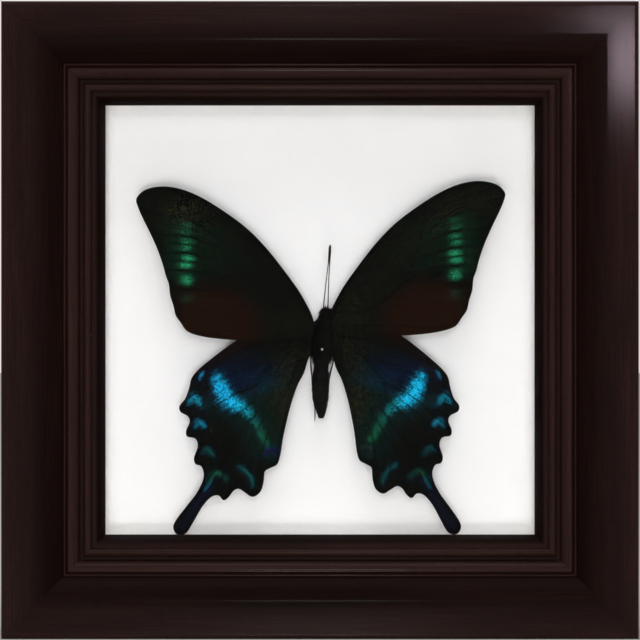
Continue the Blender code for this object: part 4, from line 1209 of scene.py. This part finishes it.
class SPECIMEN_OT_limbs(bpy.types.Operator):
    """Make the two clubbed antennae and the six folded legs"""

    bl_idname = "specimen.limbs"
    bl_label = "Antennae and legs"

    def execute(self, context):
        horn = dry_cuticle("dark_horn", "#0F0C09", "#241C15", 0.42)
        pin_x = body_axis()[0]
        for side, side_name in ((-1, "left"), (1, "right")):
            node = "antenna_" + side_name
            low, high = box_mm(node)
            curve = smooth_path(ANTENNA_STATIONS, 260)
            share = np.linspace(0.0, 1.0, len(curve))
            spread = side * 0.65 * (1.0 - share)
            path = place(pin_x + curve[:, 0] + spread, (low[1] + high[1]) / 2, curve[:, 1])
            # Forty-five short joints, each a little swollen.
            joints = 1.0 + 0.1 * np.sin(share * 45 * math.tau)
            mesh = tube(node, path, curve[:, 2] * joints * MM, 12)
            add_piece("jointed_" + node, mesh, [horn], [node])
            for leg, joints in LEGS:
                self.leg(leg, joints, side, side_name, pin_x, horn)
        return {"FINISHED"}

    def leg(self, leg, joints, side, side_name, pin_x, horn):
        """One leg as a tube whose radius swells in each limb and pinches at each joint."""
        node = "leg_%s_%s" % (leg, side_name)
        if leg == "hind" and side < 0:
            joints = joints + LEFT_HIND_TIP
        low, high = box_mm(node)
        corners = np.array(joints)
        sections = np.array(BODY_SECTIONS)[::-1]
        lean = np.interp(corners[:, 1], sections[:, 1], sections[:, 0])
        stations = np.stack((pin_x + lean + side * corners[:, 0], corners[:, 1]), axis=1)
        curve = smooth_path(stations, 120)
        share = np.linspace(0.0, 1.0, len(curve)) * (len(joints) - 1)
        swell = 0.75 + 0.35 * np.abs(np.sin(share * math.pi)) - 0.1 * share
        path = place(curve[:, 0], (low[1] + high[1]) / 2, curve[:, 1])
        mesh = tube(node, path, 0.24 * np.clip(swell, 0.3, 1.2) * MM, 12)
        add_piece("jointed_" + node, mesh, [horn], [node])


class SPECIMEN_OT_pin(bpy.types.Operator):
    """Turn the insect pin with its ball head"""

    bl_idname = "specimen.pin"
    bl_label = "Insect pin"

    def execute(self, context):
        low, high = box_mm("insect_pin")
        ball = (high[0] - low[0]) / 2
        shank = ball * 0.5
        centre = ((low + high) / 2)[[0, 2]]
        head = arc((0.0, low[1] + ball), (ball, ball), 270, 415, 18)
        head[0, 0] = 0.0
        profile = [*head, (shank, low[1] + 2.05 * ball), (shank, high[1] - 1.2), (shank * 0.5, high[1] - 0.4),
                   (0.0, high[1])]
        steel = plated_steel("polished_pin_steel", "#C4C4C6", 0.1, 0.22)
        add_piece("ball_headed_pin", turned("pin", profile, centre, 28), [steel], ["insect_pin"])
        return {"FINISHED"}


# The studio


def area_light(name, spot, aim, size, spread, power, colour="#FFFFFF"):
    """A square soft light at a spot, turned to face its aim, whose beam opens by the spread."""
    data = bpy.data.lights.new(name, "AREA")
    data.shape = "SQUARE"
    data.size = size
    data.spread = math.radians(spread)
    data.energy = power
    data.color = linear(colour)
    light = bpy.data.objects.new(name, data)
    bpy.context.scene.collection.objects.link(light)
    light.location = spot
    light.rotation_euler = (Vector(aim) - Vector(spot)).to_track_quat("-Z", "Y").to_euler()


class SPECIMEN_OT_studio(bpy.types.Operator):
    """Set up the floor, the lights and the camera"""

    bl_idname = "specimen.studio"
    bl_label = "Studio"

    def execute(self, context):
        settings = context.scene.specimen_studio
        scene = context.scene
        middle = Vector((0.0, BOARD_DEPTH * MM + FRONT_Y, HALF_SIDE * MM))
        camera_data = bpy.data.cameras.new("camera")
        camera_data.sensor_width = 36.0
        camera_data.angle = 2 * math.atan(settings.width / 2 / settings.distance)
        camera = bpy.data.objects.new("camera", camera_data)
        scene.collection.objects.link(camera)
        camera.location = (0.0, FRONT_Y - settings.distance, HALF_SIDE * MM)
        camera.rotation_euler = (math.pi / 2, 0.0, 0.0)
        scene.camera = camera

        half = 4.0
        floor_mesh = boxes_mesh("floor", [((-half, -half, -0.02), (half, half, 0.0))])
        floor = bpy.data.objects.new("floor", floor_mesh)
        scene.collection.objects.link(floor)
        floor_mesh.materials.append(paper_card("pale_floor", settings.floor, 0.6))
        # The floor casts no shadow, so that it doesn't cut off the front light, which stands below it.
        floor.visible_shadow = False

        # Both front lights stand where the frame's front plane mirrors them just outside the frame.
        for name, height, power in (("front", -0.54, settings.front), ("high", 0.72, settings.high)):
            area_light(name, (0.0, FRONT_Y - 3.0, height), middle, 0.2, 180.0, power)
        area_light("top", (0.0, middle.y - 0.45, 1.2), middle, 0.4, 180.0, settings.top)
        corner = Vector(((HALF_SIDE - 2.5) * MM, FRONT_Y, (FRAME_SIDE - 16.0) * MM))
        away = (corner - camera.location).reflect(Vector((0.0, -1.0, 0.0))).normalized()
        area_light("glance", corner + 1.5 * away, corner, 0.05, 4.0, settings.glance, "#F4DCEB")

        world = bpy.data.worlds.new("surroundings")
        scene.world = world
        world.use_nodes = True
        tree = world.node_tree
        background = tree.nodes["Background"]
        seen = add(tree, "LightPath", out="Is Camera Ray")
        dim = (settings.ambient,) * 3 + (1.0,)
        backdrop = add(tree, "Mix", {0: seen, 6: dim, 7: rgba("#E4E0DF")}, out=2, data_type="RGBA")
        tree.links.new(backdrop, background.inputs["Color"])
        scene.view_settings.view_transform = "Standard"
        return {"FINISHED"}


# The panel and the run


OPERATORS = (
    SPECIMEN_OT_moulding, SPECIMEN_OT_fixings, SPECIMEN_OT_boards, SPECIMEN_OT_hanger, SPECIMEN_OT_wings,
    SPECIMEN_OT_body, SPECIMEN_OT_limbs, SPECIMEN_OT_pin, SPECIMEN_OT_studio)
SETTINGS = (
    ("specimen_frame", FrameSettings), ("specimen_insect", SpecimenSettings),
    ("specimen_studio", StudioSettings))


class SPECIMEN_PT_panel(bpy.types.Panel):
    """The operators in the order that they are run"""

    bl_idname = "SPECIMEN_PT_panel"
    bl_label = "Framed specimen"
    bl_space_type = "VIEW_3D"
    bl_region_type = "UI"
    bl_category = "Specimen"

    def draw(self, context):
        for operator in OPERATORS:
            self.layout.operator(operator.bl_idname)
        for key, _ in SETTINGS:
            group = getattr(context.scene, key)
            box = self.layout.box()
            for name in group.__annotations__:
                box.prop(group, name)


def register():
    for _, group in SETTINGS:
        bpy.utils.register_class(group)
    for operator in OPERATORS:
        bpy.utils.register_class(operator)
    bpy.utils.register_class(SPECIMEN_PT_panel)
    for key, group in SETTINGS:
        setattr(bpy.types.Scene, key, PointerProperty(type=group))


def unregister():
    for key, _ in SETTINGS:
        delattr(bpy.types.Scene, key)
    bpy.utils.unregister_class(SPECIMEN_PT_panel)
    for operator in reversed(OPERATORS):
        bpy.utils.unregister_class(operator)
    for _, group in SETTINGS:
        bpy.utils.unregister_class(group)


def main():
    """Run every operator in order."""
    register()
    for operator in OPERATORS:
        name = operator.bl_idname.split(".")[1]
        getattr(bpy.ops.specimen, name)()


if __name__ == "__main__":
    main()
